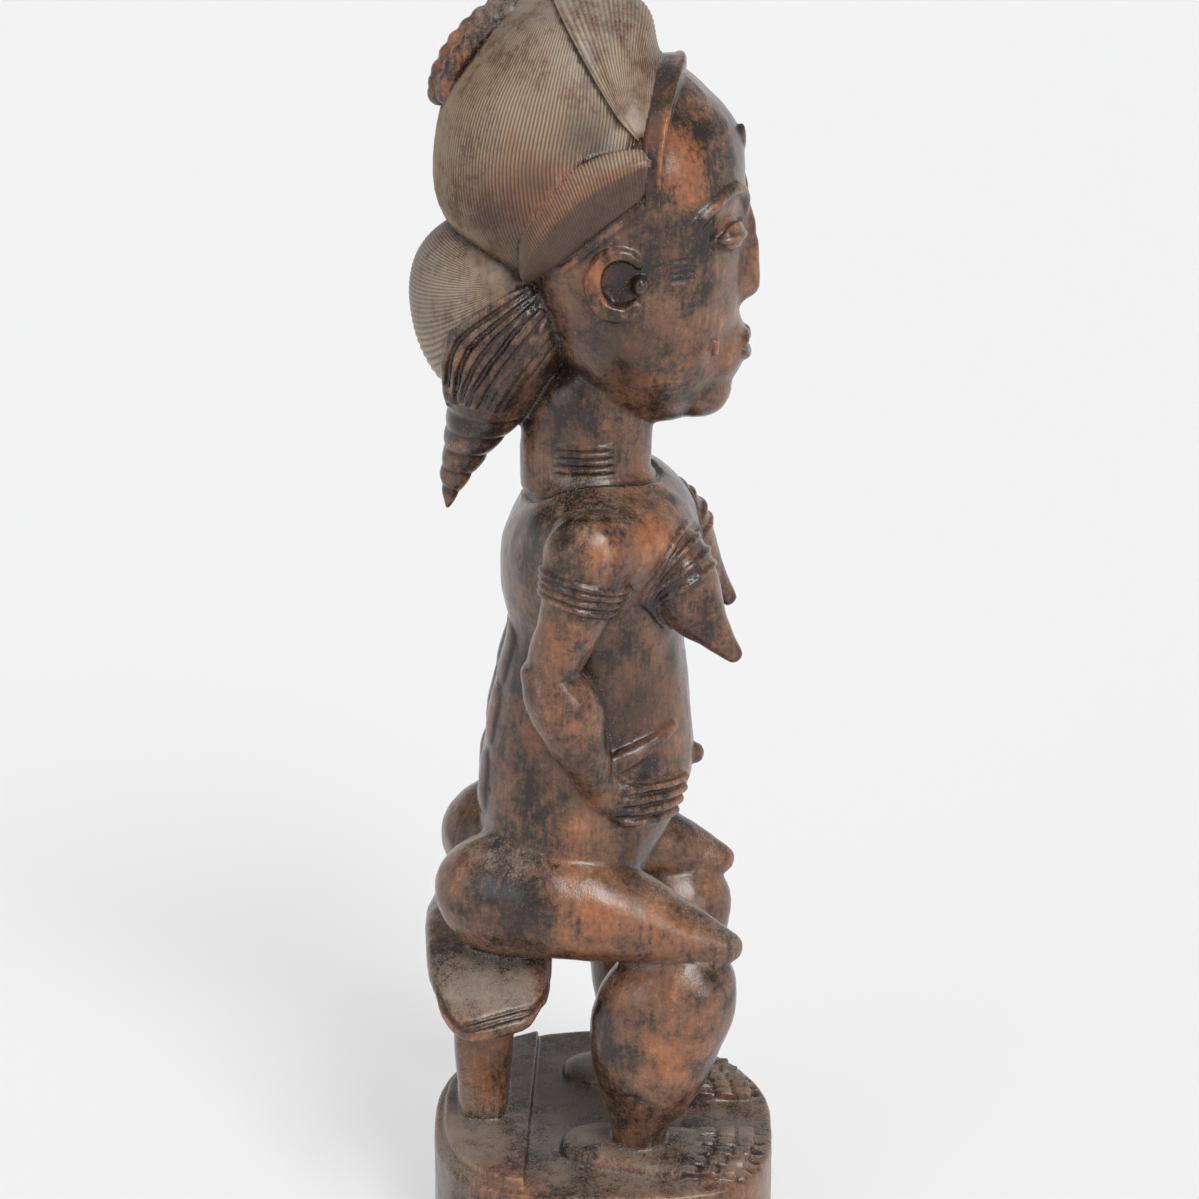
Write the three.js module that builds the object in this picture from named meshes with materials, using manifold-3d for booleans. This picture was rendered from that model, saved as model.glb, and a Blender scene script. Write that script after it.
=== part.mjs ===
// A seated woman carved with her stool and round base from one block of wood.
// Millimetres, +Z up. She faces -Y and her right hand is on the -X side.
// The origin is the centre of the base's underside.
// Every form is a closed skin laid along a short path of sections; the skins are
// joined into one solid, as the block is.
import * as THREE from "three";
import { mergeVertices } from "three/addons/utils/BufferGeometryUtils.js";
import Module from "manifold-3d";

const wasm = await Module();
wasm.setup();

const DEG = Math.PI / 180;
const X_AXIS = new THREE.Vector3(1, 0, 0);
const Y_AXIS = new THREE.Vector3(0, 1, 0);
const Z_AXIS = new THREE.Vector3(0, 0, 1);

// Driving dimensions
const BASE = { x: -2.4, halfX: 68.1, halfY: 66, height: 42, rim: 1.8 };
// How square each quarter of the base is: right back, right front, left back, left front.
const BASE_CORNERS = { "-1,1": 2.95, "-1,-1": 3.35, "1,1": 2.2, "1,-1": 1.9 };
const FOOTPLATE = { front: 28, inset: 4, top: 46.5 };
const FIGURE_TOP = 486;

// Small helpers

const power = (value, exponent) => Math.sign(value) * Math.abs(value) ** exponent;

// The solid inside a closed mesh.
function solidOf(geometry) {
  const bare = geometry.clone();
  bare.deleteAttribute("normal");
  bare.deleteAttribute("uv");
  const merged = mergeVertices(bare, 1e-3);
  return new wasm.Manifold(
    new wasm.Mesh({
      numProp: 3,
      vertProperties: new Float32Array(merged.attributes.position.array),
      triVerts: new Uint32Array(merged.index.array),
    }),
  );
}

// Both hands: the solid and its mirror image across the middle plane.
const bothSides = (solid) => solid.add(solid.mirror([1, 0, 0]));

// A closed skin of rings: place gives the point for a ring's number, from pole to
// pole, and an angle round.
function wrap(sides, rings, place) {
  const ball = new THREE.SphereGeometry(1, sides, rings);
  const at = ball.attributes.position;
  for (let i = 0; i < at.count; i++) {
    const ring = Math.round((Math.acos(THREE.MathUtils.clamp(at.getY(i), -1, 1)) / Math.PI) * rings);
    const p = place(ring, Math.atan2(at.getX(i), at.getZ(i)));
    at.setXYZ(i, p.x, p.y, p.z);
  }
  const made = solidOf(ball);
  if (made.volume() > 0) return made;
  const index = ball.index.array;
  for (let i = 0; i < index.length; i += 3) [index[i], index[i + 1]] = [index[i + 1], index[i]];
  return solidOf(ball);
}

// A smooth path through stations [x, y, z, half width, half depth]. The sections
// close to a point at both ends; blunt sets how late they start to close, and square
// turns the sections from ellipses (2) towards rectangles.
class Form {
  constructor(stations, { square = 2, blunt = 3, level = false, side = X_AXIS } = {}) {
    const path = stations.map(([x, y, z]) => new THREE.Vector3(x, y, z));
    const widths = stations.map(([, , , a, b]) => new THREE.Vector3(a, b, 0));
    this.path = new THREE.CatmullRomCurve3(path, false, "catmullrom", 0.5);
    this.widths = new THREE.CatmullRomCurve3(widths, false, "catmullrom", 0.5);
    Object.assign(this, { square, blunt, level, side });
  }

  // The centre, half widths and directions of the section a share s along the path.
  section(s) {
    const centre = this.path.getPoint(s);
    const widths = this.widths.getPoint(s);
    const close = Math.max(0, 1 - Math.abs(2 * s - 1) ** this.blunt) ** (1 / this.blunt);
    const along = this.level ? Z_AXIS.clone() : this.path.getTangent(s);
    const across = this.side.clone().addScaledVector(along, -this.side.dot(along)).normalize();
    const deep = along.clone().cross(across);
    return { centre, a: widths.x * close, b: widths.y * close, across, deep };
  }

  // A point of the skin: angle 0 is the front (-Y) of a level form and 90 its +X side.
  point(s, angle, lift = 0) {
    const { centre, a, b, across, deep } = this.section(s);
    const p = centre.clone();
    p.addScaledVector(across, (a + lift) * power(Math.sin(angle), 2 / this.square));
    return p.addScaledVector(deep, -(b + lift) * power(Math.cos(angle), 2 / this.square));
  }

  // A point of the skin of a level form at height z.
  skin(degrees, z, lift = 0) {
    let low = 0;
    let high = 1;
    for (let i = 0; i < 30; i++) {
      const middle = (low + high) / 2;
      if (this.path.getPoint(middle).z < z) low = middle;
      else high = middle;
    }
    return this.point(low, degrees * DEG, lift);
  }

  // The whole form, its rings closer together towards the ends. Ribs, where given,
  // are raised rings round it between two shares of the path.
  solid(sides, rings, { from = 2, to = 2, count = 0, lift = 0 } = {}) {
    const list = [];
    for (let ring = 0; ring <= rings; ring++) {
      const s = (1 - Math.cos((Math.PI * ring) / rings)) / 2;
      if (s < from || s > to) list.push([s, 0]);
    }
    for (let step = 0; step <= 2 * count && count; step++) {
      list.push([from + ((to - from) * step) / (2 * count), step % 2 ? lift : 0]);
    }
    list.sort((one, other) => one[0] - other[0]);
    return wrap(sides, list.length - 1, (ring, angle) => this.point(list[ring][0], angle, list[ring][1]));
  }
}

// A thin raised line through points, thickest halfway.
function ridge(points, half, { sides = 6, rings = 8, blunt = 3, height = half } = {}) {
  const stations = points.map((p) => [p.x, p.y, p.z, half, height]);
  const side = points[0].z === points.at(-1).z ? Z_AXIS : X_AXIS;
  return new Form(stations, { blunt, side }).solid(sides, rings);
}

const ellipsoid = (x, y, z, halfX, halfY, halfZ, sides = 10, rings = 8) =>
  new Form(
    [
      [x, y, z - halfZ, halfX, halfY],
      [x, y, z + halfZ, halfX, halfY],
    ],
    { blunt: 2, level: true },
  ).solid(sides, rings);

const union = (solids) => wasm.Manifold.union(solids);

// A slab with the base's own outline drawn in by an inset.
function outlineSlab(inset, bottom, top, rim, corners) {
  const points = [];
  for (let i = 0; i < corners; i++) {
    const angle = (2 * Math.PI * i) / corners;
    const square = BASE_CORNERS[[Math.cos(angle) < 0 ? -1 : 1, Math.sin(angle) < 0 ? -1 : 1]];
    const x = BASE.x + (BASE.halfX - inset) * power(Math.cos(angle), 2 / square);
    const y = (BASE.halfY - inset) * power(Math.sin(angle), 2 / square);
    points.push(new THREE.Vector2(x, y));
  }
  const slab = new THREE.ExtrudeGeometry(new THREE.Shape(points), {
    depth: top - bottom - 2 * rim,
    bevelThickness: rim,
    bevelSize: rim,
    bevelOffset: -rim,
    bevelSegments: 1,
  });
  return solidOf(slab.translate(0, 0, bottom + rim));
}

// Base, stool and feet

const base = () => outlineSlab(0, 0, BASE.height, BASE.rim, 34);

function stool() {
  const cut = new THREE.BoxGeometry(200, 100, 20).translate(0, FOOTPLATE.front + 50, BASE.height);
  const plate = outlineSlab(FOOTPLATE.inset, BASE.height - 4, FOOTPLATE.top, 1.2, 28).intersect(solidOf(cut));
  const post = new Form(
    [
      [0, 47, 44, 20, 9.5],
      [0, 46.5, 64, 19.5, 10.5],
      [0, 46, 88, 22, 12.5],
      [0, 45, 104, 27, 15],
      [0, 44, 119, 34, 17],
    ],
    { square: 5, blunt: 12, level: true },
  ).solid(8, 5);
  // The seat bends down towards its ends, which are rounded off at the back.
  const half = [
    [0, 19, 68.5, 121, 8],
    [26, 19, 67, 119.5, 6.5],
    [44, 19.5, 63, 116, 5],
    [54, 21, 57, 112, 4],
    [63, 24, 46, 107, 3.4],
  ].map(([x, front, back, z, thick]) => [x, (front + back) / 2, z, (back - front) / 2, thick]);
  const mirrored = half.slice(1).map(([x, ...rest]) => [-x, ...rest]);
  const seat = new Form([...mirrored.reverse(), ...half], { square: 3.4, blunt: 7, side: Y_AXIS }).solid(10, 10);
  return [plate, post, seat];
}

// A low foot and its five square toes, from a heel and a toe line of given widths.
function foot(heelX, toeX, width) {
  const sole = new Form(
    [
      [heelX, 16, 42.5, 0.6 * width, 4],
      [heelX, 3, 43, 0.8 * width, 5],
      [(heelX + toeX) / 2, -18, 43, 0.9 * width, 4.5],
      [toeX, -42, 42.5, width, 4],
      [toeX, -57, 42, width, 3.2],
    ],
    { square: 2.6, blunt: 4 },
  ).solid(10, 7);
  const toes = [];
  const outward = Math.sign(heelX);
  for (let toe = 0; toe < 5; toe++) {
    const x = toeX + outward * width * (0.38 * toe - 0.76);
    const tip = -59 + 0.5 * toe * toe;
    const block = new THREE.BoxGeometry(0.33 * width, 20, 5.4);
    toes.push(solidOf(block.rotateX(0.05).translate(x, tip + 10, 43.6)));
  }
  return union([sole, ...toes]);
}

// Legs

// Stations of a lower leg and a thigh; x is a share of the way from ankle to knee.
const SHIN = [
  [0, -14, 32, 12, 11],
  [0, -14, 45, 11, 10.5],
  [0.1, -14.7, 54, 12, 11.3],
  [0.3, -16.2, 62, 14.5, 15.3],
  [0.5, -17.8, 73, 18.5, 20.3],
  [0.7, -19.6, 88, 21, 24.6],
  [0.85, -22.5, 104, 22.5, 27.3],
  [1, -26, 119, 20.5, 25],
  [1, -28, 133, 14, 17],
];
const THIGH = [
  [18, 60, 142.5, 14, 15],
  [22, 50, 145.5, 21, 22],
  [28, 33, 149, 24, 24],
  [34, 10, 148, 22.5, 22],
  [37, -12, 142.5, 18, 17],
  [39, -32, 136, 12.5, 11.5],
  [39.5, -44, 132.5, 8.5, 8],
  [39.5, -52, 131, 6.5, 6],
];

function leg(ankleX, kneeX) {
  const shin = SHIN.map(([share, ...rest]) => [ankleX + (kneeX - ankleX) * share, ...rest]);
  const thigh = THIGH.map(([x, ...rest]) => [x * Math.sign(kneeX), ...rest]);
  return union([
    new Form(shin, { blunt: 6, level: true }).solid(11, 8),
    new Form(thigh, { blunt: 4 }).solid(11, 9),
  ]);
}

// Trunk

const torso = new Form(
  [
    [0, 18, 123, 26, 24],
    [0, 17, 136, 34, 30],
    [0, 15, 150, 40, 33],
    [0, 12.5, 162, 43, 35.5],
    [0, 9.5, 175, 43, 38],
    [0, 6.3, 191, 41.5, 40.4],
    [0, 5, 204, 40, 39.3],
    [0, 4.8, 216, 38.5, 37.8],
    [0, 4, 232, 37.5, 35],
    [0, 2.5, 247, 37.5, 32.5],
    [0, 1.5, 262, 40, 36],
    [0, 0.8, 275, 46, 37.5],
    [0, -0.5, 287, 51, 36.5],
    [0, -1, 297, 53, 33],
    [0, 0, 304, 50, 29],
    [0, 3, 311, 38, 23],
  ],
  { square: 2.2, blunt: 4, level: true },
);
const neck = new Form(
  [
    [0, 7, 285, 23, 25],
    [0, 6.5, 300, 21.5, 24],
    [0, 6, 320, 21, 24],
    [0, 5, 335, 21.5, 24],
    [0, 3, 350, 20, 22],
  ],
  { blunt: 6, level: true },
);

function breast() {
  const cone = new Form(
    [
      [-24, -8, 272, 18.5, 17.5],
      [-27, -24, 263.5, 18, 17],
      [-29, -35, 255, 11, 10.8],
      [-30, -43, 248.4, 5.8, 5.6],
      [-30, -48, 244.6, 3.8, 3.8],
      [-30, -51, 242.5, 3.4, 3.4],
    ],
    { blunt: 5 },
  );
  return cone.solid(10, 7, { from: 0.24, to: 0.4, count: 3, lift: 0.9 });
}

// Arms

function arm() {
  const upper = new Form(
    [
      [-41, 5, 304, 12, 14],
      [-46, 5, 292, 15.5, 17],
      [-48, 8, 278, 13.5, 14.5],
      [-48, 12.5, 263, 11.5, 11.5],
      [-47.5, 17.5, 250, 11, 10.5],
      [-47, 20, 240, 9, 8],
    ],
    { blunt: 4 },
  );
  const fore = new Form(
    [
      [-46.5, 29, 249, 6.5, 6],
      [-47.5, 21.5, 244, 10.5, 10],
      [-47.5, 12.5, 230, 12, 12],
      [-46, 6.5, 216, 9.5, 9.5],
      [-42, 2, 203, 6.5, 6],
      [-39, 0, 194, 6, 5],
    ],
    { blunt: 4 },
  );
  return union([upper.solid(10, 7, { from: 0.36, to: 0.54, count: 3, lift: 1.7 }), fore.solid(9, 7)]);
}

// The hand lies flat on the side of the belly: four fingers forward, the thumb above.
function hand() {
  const palm = new Form(
    [
      [-40, 4, 203, 6, 4.5],
      [-39.5, -2, 197, 8, 4.5],
      [-37, -9, 192, 10, 4],
      [-34, -15, 191, 9, 3],
    ],
    { side: Z_AXIS },
  ).solid(8, 6);
  const fingers = [];
  for (let finger = 0; finger < 4; finger++) {
    const z = 198.5 - 4.7 * finger;
    const points = [-68, -52, -38, -26].map((angle, i) => torso.skin(angle, z - i * 1.6, 0.6));
    fingers.push(ridge(points, 2.2, { sides: 4, rings: 5, blunt: 6 }));
  }
  const thumb = [-80, -62, -48, -36].map((angle, i) => torso.skin(angle, 205 + i * 2.2, 1));
  return union([palm, ...fingers, ridge(thumb, 3, { sides: 4, rings: 5, blunt: 6 })]);
}

// Head and face. The face is a calm one of the carver's usual pattern: lowered lids
// under long brow arches, a straight narrow nose, a small full mouth.

const head = new Form(
  [
    [0, -19, 327, 20, 22],
    [0, -17, 340, 28, 29],
    [0, -14, 356, 36, 35],
    [0, -10.5, 375, 41, 39],
    [0, -8, 395, 44, 42.5],
    [0, -7, 415, 44.5, 44],
    [0, -6, 435, 42.5, 43.5],
    [0, -3, 452, 38, 36],
    [0, 0, 466, 30, 26],
  ],
  { square: 2.1, blunt: 3, level: true },
);
const FACE = { brow: 415, eye: 401, noseBase: 372, mouth: 356 };

function face() {
  const eye = head.skin(-24, FACE.eye, -2.5);
  const lid = ellipsoid(eye.x, eye.y, eye.z, 11, 5.5, 7, 8, 5);
  const slit = ridge(
    [-37, -30, -24, -18, -12].map((angle, i) => head.skin(angle, FACE.eye - 2.6 + 0.5 * Math.abs(i - 2), 2.7 - 0.5 * (i - 2) ** 2)),
    0.9,
    { sides: 4, rings: 5 },
  );
  const brow = ridge(
    [-6, -14, -26, -40, -56].map((angle, i) => head.skin(angle, FACE.brow - 6 + [0, 5, 8, 6, 0][i], 0.4)),
    1.9,
    { sides: 4, rings: 7 },
  );
  const bridge = head.skin(0, FACE.brow - 3, -2);
  const tip = head.skin(0, FACE.noseBase + 4, 3.5);
  const nose = new Form(
    [
      [0, bridge.y, bridge.z, 3.4, 3],
      [0, (bridge.y + tip.y) / 2, (bridge.z + tip.z) / 2 + 2, 3.8, 4.5],
      [0, tip.y + 1.5, tip.z, 5.5, 6],
      [0, tip.y + 5, tip.z - 6, 6, 5],
    ],
    { blunt: 4, level: true },
  ).solid(8, 6);
  const nostril = ellipsoid(-5, tip.y + 4.5, tip.z - 2.5, 3.6, 4, 3.6, 6, 4);
  const lips = [
    [FACE.mouth + 2.6, 2.6],
    [FACE.mouth - 3, 2.9],
  ].map(([z, half]) =>
    ridge(
      [-17, -9, 0, 9, 17].map((angle, i) => head.skin(angle, z + (FACE.mouth - z) * [0.7, 0.2, 0, 0.2, 0.7][i], 0.4)),
      half,
      { sides: 5, rings: 6, blunt: 2.2 },
    ),
  );
  const chinAt = head.skin(0, 337, -5);
  const chin = ellipsoid(0, chinAt.y, chinAt.z, 12, 7, 9, 8, 5);
  const muzzle = ellipsoid(0, -40, 355, 19, 10, 15, 10, 5);
  return union([bothSides(union([lid, brow, nostril])), nose, ...lips, muzzle, chin]).subtract(bothSides(slit));
}

function ear() {
  const rim = [];
  for (let i = 0; i <= 8; i++) {
    const angle = (35 + i * 36) * DEG;
    rim.push(new THREE.Vector3(-45.5, -6 - 10 * Math.cos(angle), 389.5 + 11.5 * Math.sin(angle)));
  }
  const bowl = ellipsoid(-42.5, -6.5, 389.5, 2.6, 9.5, 10.5, 8, 5);
  const knob = ellipsoid(-45, -12.5, 389, 2.6, 3.2, 3.2, 6, 4);
  return union([ridge(rim, 2.3, { sides: 4, rings: 9, blunt: 6 }), bowl, knob]);
}

// Hair

const crown = new Form(
  [
    [0, 35, 384, 18, 12],
    [0, 32, 397, 32, 22],
    [0, 26, 412, 39, 31],
    [0, 20, 430, 44, 39.5],
    [0, 16, 448, 43.5, 41],
    [0, 13, 465, 39, 38],
    [0, 11.5, 479, 30, 32],
    [0, 11, FIGURE_TOP, 19, 24],
  ],
  { blunt: 3, level: true },
);
const bun = new Form(
  [
    [0, 46, 336, 18, 14],
    [0, 42, 348, 27, 23],
    [0, 40, 363, 31, 29],
    [0, 40, 379, 31, 30],
    [0, 38, 394, 28, 28],
    [0, 34, 408, 22, 20],
  ],
  { blunt: 3, level: true },
);
const tail = new Form(
  [
    [0, 57, 294, 3, 2.5],
    [0, 54, 305, 6.5, 6],
    [0, 49, 316, 10.5, 9.5],
    [0, 41.5, 331, 19, 15.5],
    [0, 36, 346, 28, 19],
    [0, 28, 363, 33, 18],
    [0, 20, 382, 33, 12],
  ],
  { blunt: 5, level: true },
);

function sideRoll() {
  return new Form(
    [
      [-39, -16, 431, 7.5, 6],
      [-42, -6, 430.5, 9, 8.5],
      [-43, 6, 425.5, 10, 9.5],
      [-41, 17, 415.5, 10, 9.5],
      [-36.5, 25, 403, 8, 8],
      [-29.5, 28.5, 389, 6.5, 7],
      [-26, 28.5, 381, 4, 5],
    ],
    { side: Z_AXIS, blunt: 4 },
  ).solid(8, 9);
}

function headband() {
  const points = [];
  for (let i = 0; i <= 8; i++) {
    const angle = (-96 + i * 24) * DEG;
    points.push(new THREE.Vector3(44.5 * Math.sin(angle), -25 + 9.5 * Math.abs(Math.sin(angle)) ** 3, 421 + 37.5 * Math.cos(angle)));
  }
  const stations = points.map((p) => [p.x, p.y, p.z, 4.2, 3]);
  return new Form(stations, { side: Y_AXIS, blunt: 10 }).solid(6, 14);
}

// A two-row braid of knobs from the nape side of the crown over its top to the brow.
function crestBraid() {
  const knobs = 14;
  const rope = new Form(
    [
      [55, 446],
      [55.5, 454],
      [50.5, 464],
      [42, 473],
      [30, 480.5],
      [14, 484.5],
      [-3, 482],
      [-17, 473],
    ].map(([y, z]) => [0, y, z, 8.5, 4]),
    { blunt: 9 },
  );
  return rope.solid(6, 2, { from: 0.01, to: 0.99, count: knobs, lift: 1.6 });
}

// Raised scars: four bars on each side of the neck, tapering bosses down the back,
// the navel.
function scars() {
  const solids = [];
  for (let bar = 0; bar < 4; bar++) {
    const z = 321.5 - 2.8 * bar;
    const points = [-64, -92, -120].map((angle) => neck.skin(angle, z, 0.3));
    solids.push(bothSides(ridge(points, 1.1, { sides: 4, rings: 4, blunt: 8 })));
  }
  const navel = torso.skin(0, 194, 0);
  solids.push(ellipsoid(0, navel.y, navel.z, 4, 4, 4, 6, 4));
  for (const z of [238, 214, 187]) {
    const p = torso.skin(180, z, 0);
    solids.push(ellipsoid(p.x, p.y, p.z, 8, 2.2, 6.5, 6, 4));
  }
  return solids;
}

const figure = union([
  base(),
  ...stool(),
  foot(-33, -40, 19.5),
  foot(28, 19, 16),
  leg(-34, -39),
  leg(29, 37.5),
  torso.solid(16, 13),
  neck.solid(14, 4),
  bothSides(breast()),
  bothSides(arm()),
  bothSides(hand()),
  head.solid(16, 11),
  face(),
  bothSides(ear()),
  crown.solid(18, 11),
  bun.solid(12, 8),
  tail.solid(9, 7),
  bothSides(sideRoll()),
  headband(),
  crestBraid(),
  ...scars(),
]);

// The mesh of a solid, for the scene.
function meshOf(name, solid, material) {
  const { vertProperties, triVerts } = solid.getMesh();
  const geometry = new THREE.BufferGeometry();
  geometry.setAttribute("position", new THREE.BufferAttribute(vertProperties, 3));
  geometry.setIndex(new THREE.BufferAttribute(triVerts, 1));
  geometry.computeVertexNormals();
  const mesh = new THREE.Mesh(geometry, material);
  mesh.name = name;
  return mesh;
}

const wood = new THREE.MeshStandardMaterial({ color: 0x4a2c20, roughness: 0.55, metalness: 0 });
const object = new THREE.Group();
object.add(meshOf("figure", figure.simplify(0.1), wood));

export default object;
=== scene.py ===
# A carved wooden figure: a seated woman, her stool and the round base, from one block.
# The frame's solid is dressed by one carved skin of the same forms with combed hair and patina.
# Forms are written in millimetres in the frame's axes: +Z up, -Y the way she faces.

import math

import bmesh
import bpy
import numpy as np
import openvdb
from bpy.props import FloatProperty, FloatVectorProperty, IntProperty, PointerProperty
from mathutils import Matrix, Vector
from mathutils.bvhtree import BVHTree


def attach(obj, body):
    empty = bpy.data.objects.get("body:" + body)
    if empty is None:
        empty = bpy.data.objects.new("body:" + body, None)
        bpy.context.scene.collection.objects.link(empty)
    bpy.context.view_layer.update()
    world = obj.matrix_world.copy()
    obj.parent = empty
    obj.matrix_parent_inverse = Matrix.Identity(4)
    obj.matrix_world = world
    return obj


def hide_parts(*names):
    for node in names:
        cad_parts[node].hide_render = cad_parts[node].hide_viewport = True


bl_info = {
    "name": "Carved seated figure",
    "version": (1, 0, 0),
    "blender": (4, 5, 0),
    "location": "View3D > Sidebar > Figure",
    "description": "Carves a wooden seated figure, combs its hair, stains it and sets a studio round it",
    "category": "Add Mesh",
}

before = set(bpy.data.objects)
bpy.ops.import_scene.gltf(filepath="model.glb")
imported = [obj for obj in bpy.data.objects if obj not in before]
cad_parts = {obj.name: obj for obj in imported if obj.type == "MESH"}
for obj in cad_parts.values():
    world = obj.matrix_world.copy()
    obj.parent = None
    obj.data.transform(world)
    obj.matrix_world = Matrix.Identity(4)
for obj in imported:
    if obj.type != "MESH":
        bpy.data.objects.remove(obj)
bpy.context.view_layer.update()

NODE = "figure"
BODY = "root"
PIECE = "carved_figure"
MM = 0.001
X, Y, Z = (1, 0, 0), (0, 1, 0), (0, 0, 1)
MIRROR = np.array([-1.0, 1.0, 1.0])


# Small sums on arrays of numbers and points

def power(value, exponent):
    return np.sign(value) * np.abs(value) ** exponent


def unit(vectors):
    return vectors / np.maximum(np.linalg.norm(vectors, axis=-1, keepdims=True), 1e-9)


def smooth(low, high, value):
    """0 below low, 1 above high and an even turn between them; low may be the larger."""
    share = np.clip((value - low) / (high - low), 0, 1)
    return share * share * (3 - 2 * share)


def along(stations, share):
    """The values at shares 0 to 1 of a smooth path through evenly spaced stations."""
    rows = np.asarray(stations, float)
    rows = np.vstack([2 * rows[0] - rows[1], rows, 2 * rows[-1] - rows[-2]])
    place = np.clip(share, 0, 1) * (len(rows) - 3)
    step = np.minimum(place.astype(int), len(rows) - 4)
    t = (place - step)[:, None]
    before, here, there, after = rows[step], rows[step + 1], rows[step + 2], rows[step + 3]
    leave, meet = (there - before) / 2, (after - here) / 2
    bend = 3 * (there - here) - 2 * leave - meet
    return here + leave * t + bend * t**2 + (2 * (here - there) + leave + meet) * t**3


# Forms: closed skins laid along a short path of sections

# Sections that a level form is measured at, and the least half size it has outside its ends
LEVELS, THINNEST = 400, 1e-3
# How often the search for a skin halves its step
HALVINGS = 26


class Form:
    """A smooth path through stations (x, y, z, half width, half depth), closed at both ends.

    blunt sets how late the ends close, and square turns the sections from ellipses towards
    rectangles.
    """

    def __init__(self, stations, square=2.0, blunt=3.0, level=False, side=X):
        table = np.array(stations, float)
        self.path, self.widths = table[:, :3], table[:, 3:]
        self.square, self.blunt, self.level = square, blunt, level
        self.side = np.array(side, float)

    def section(self, share):
        centre = along(self.path, share)
        close = np.maximum(0, 1 - np.abs(2 * share - 1) ** self.blunt) ** (1 / self.blunt)
        half = along(self.widths, share) * close[:, None]
        if self.level:
            tangent = np.tile(Z, (len(share), 1)).astype(float)
        else:
            tangent = unit(along(self.path, share + 1e-3) - along(self.path, share - 1e-3))
        across = unit(self.side - tangent * (tangent @ self.side)[:, None])
        return centre, half, across, np.cross(tangent, across)

    def point(self, share, angle, lift=0.0):
        """Points of the skin; angle 0 is the front (-Y) of a level form, a quarter turn its +X side."""
        centre, half, across, deep = self.section(share)
        wide = (half[:, 0] + lift) * power(np.sin(angle), 2 / self.square)
        far = (half[:, 1] + lift) * power(np.cos(angle), 2 / self.square)
        return centre + across * wide[:, None] - deep * far[:, None]

    def level_half(self, height):
        """The centre's y and the half width and depth of a level form at heights z."""
        share = np.linspace(0, 1, LEVELS)
        centre, half, _, _ = self.section(share)
        order = np.argsort(centre[:, 2])
        z = centre[order, 2]
        outside = (height < z[0]) | (height > z[-1])
        y, a, b = (np.interp(height, z, row[order]) for row in (centre[:, 1], half[:, 0], half[:, 1]))
        a, b = (np.where(outside, THINNEST, np.maximum(row, THINNEST)) for row in (a, b))
        return y, a, b

    def skin(self, degrees, height, lift=0.0):
        """Points of a level form's skin at angles in degrees and heights z."""
        degrees, height = np.broadcast_arrays(np.atleast_1d(degrees), np.atleast_1d(height))
        angle = np.radians(degrees.astype(float))
        y, a, b = self.level_half(height.astype(float))
        side = (a + lift) * power(np.sin(angle), 2 / self.square)
        front = (b + lift) * power(np.cos(angle), 2 / self.square)
        return np.stack([side, y - front, height], axis=1)

    def depth(self, points):
        """Below 1 inside a level form and above 1 outside it."""
        y, a, b = self.level_half(points[:, 2])
        return np.abs(points[:, 0] / a) ** self.square + np.abs((points[:, 1] - y) / b) ** self.square

    def reach(self, y, z):
        """How far a level form reaches sideways at points (y, z) of the middle plane."""
        centre, a, b = self.level_half(z)
        left = np.clip(1 - np.abs((y - centre) / b) ** self.square, 0, 1)
        return a * left ** (1 / self.square)


def upright(rows, **style):
    """A level form in the middle plane, from rows of y, z, half width and half depth."""
    return Form([(0, *row) for row in rows], level=True, **style)


def flip(stations):
    """The same stations on the other side of the middle plane."""
    return [(-station[0], *station[1:]) for station in stations]


def with_halves(points, halves):
    """Stations from points and their half sizes."""
    return [(*point, *half) for point, half in zip(points, halves)]


def outermost(forms, centre, directions, farthest=130.0):
    """Where rays from a centre leave the last of some level forms."""
    near = np.zeros(len(directions))
    far = np.full(len(directions), farthest)
    for _ in range(HALVINGS):
        middle = (near + far) / 2
        at = centre + directions * middle[:, None]
        inside = np.min([form.depth(at) for form in forms], axis=0) < 1
        near, far = np.where(inside, middle, near), np.where(inside, far, middle)
    return centre + directions * near[:, None]


# Meshes

BALLS = {}


def unit_ball(sides, rings):
    """A unit ball's mesh and points, made once for each fineness."""
    if (sides, rings) not in BALLS:
        bm = bmesh.new()
        bmesh.ops.create_uvsphere(bm, u_segments=sides, v_segments=rings, radius=1)
        mesh = bpy.data.meshes.new("ball")
        bm.to_mesh(mesh)
        bm.free()
        BALLS[sides, rings] = mesh, points_of(mesh) * MM
    return BALLS[sides, rings]


def ball_shares(at):
    """The share from a unit ball's first pole to its last, and the angle round it."""
    return (1 - at[:, 2]) / 2, np.arctan2(at[:, 0], -at[:, 1])


def ball_mesh(sides, rings, shape):
    """A ball's mesh with its points moved to shape(points), facing outwards."""
    mesh, at = unit_ball(sides, rings)
    made = mesh.copy()
    points = shape(at)
    move_points(made, points)
    a, b, c = (points[corner] for corner in corners_of(made).T)
    if np.sum(a * np.cross(b, c)) < 0:
        made.flip_normals()
    return made


def mirrored(both=True):
    """Factors for the right side, and with both for the left side too."""
    return (1, MIRROR) if both else (1,)


def add_ball(bm, sides, rings, shape, both):
    for turn in mirrored(both):
        made = ball_mesh(sides, rings, lambda at, turn=turn: shape(at) * turn)
        bm.from_mesh(made)
        bpy.data.meshes.remove(made)


def add_skin(bm, form, sides=64, rings=48, both=False):
    """A form's smooth skin, and with both its mirror image."""
    add_ball(bm, sides, rings, lambda at: form.point(*ball_shares(at)), both)


def add_egg(bm, centre, half, both=False):
    """An ellipsoid with its own half sizes."""
    add_ball(bm, 32, 24, lambda at: centre + at * half, both)


def add_rod(bm, points, half, blunt, height=None, side=X, rings=24):
    """A rounded rod through points, of one half width and half height, on both sides."""
    stations = [(*point, half, height or half) for point in points]
    add_skin(bm, Form(stations, blunt=blunt, side=side), 16, rings, both=True)


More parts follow.
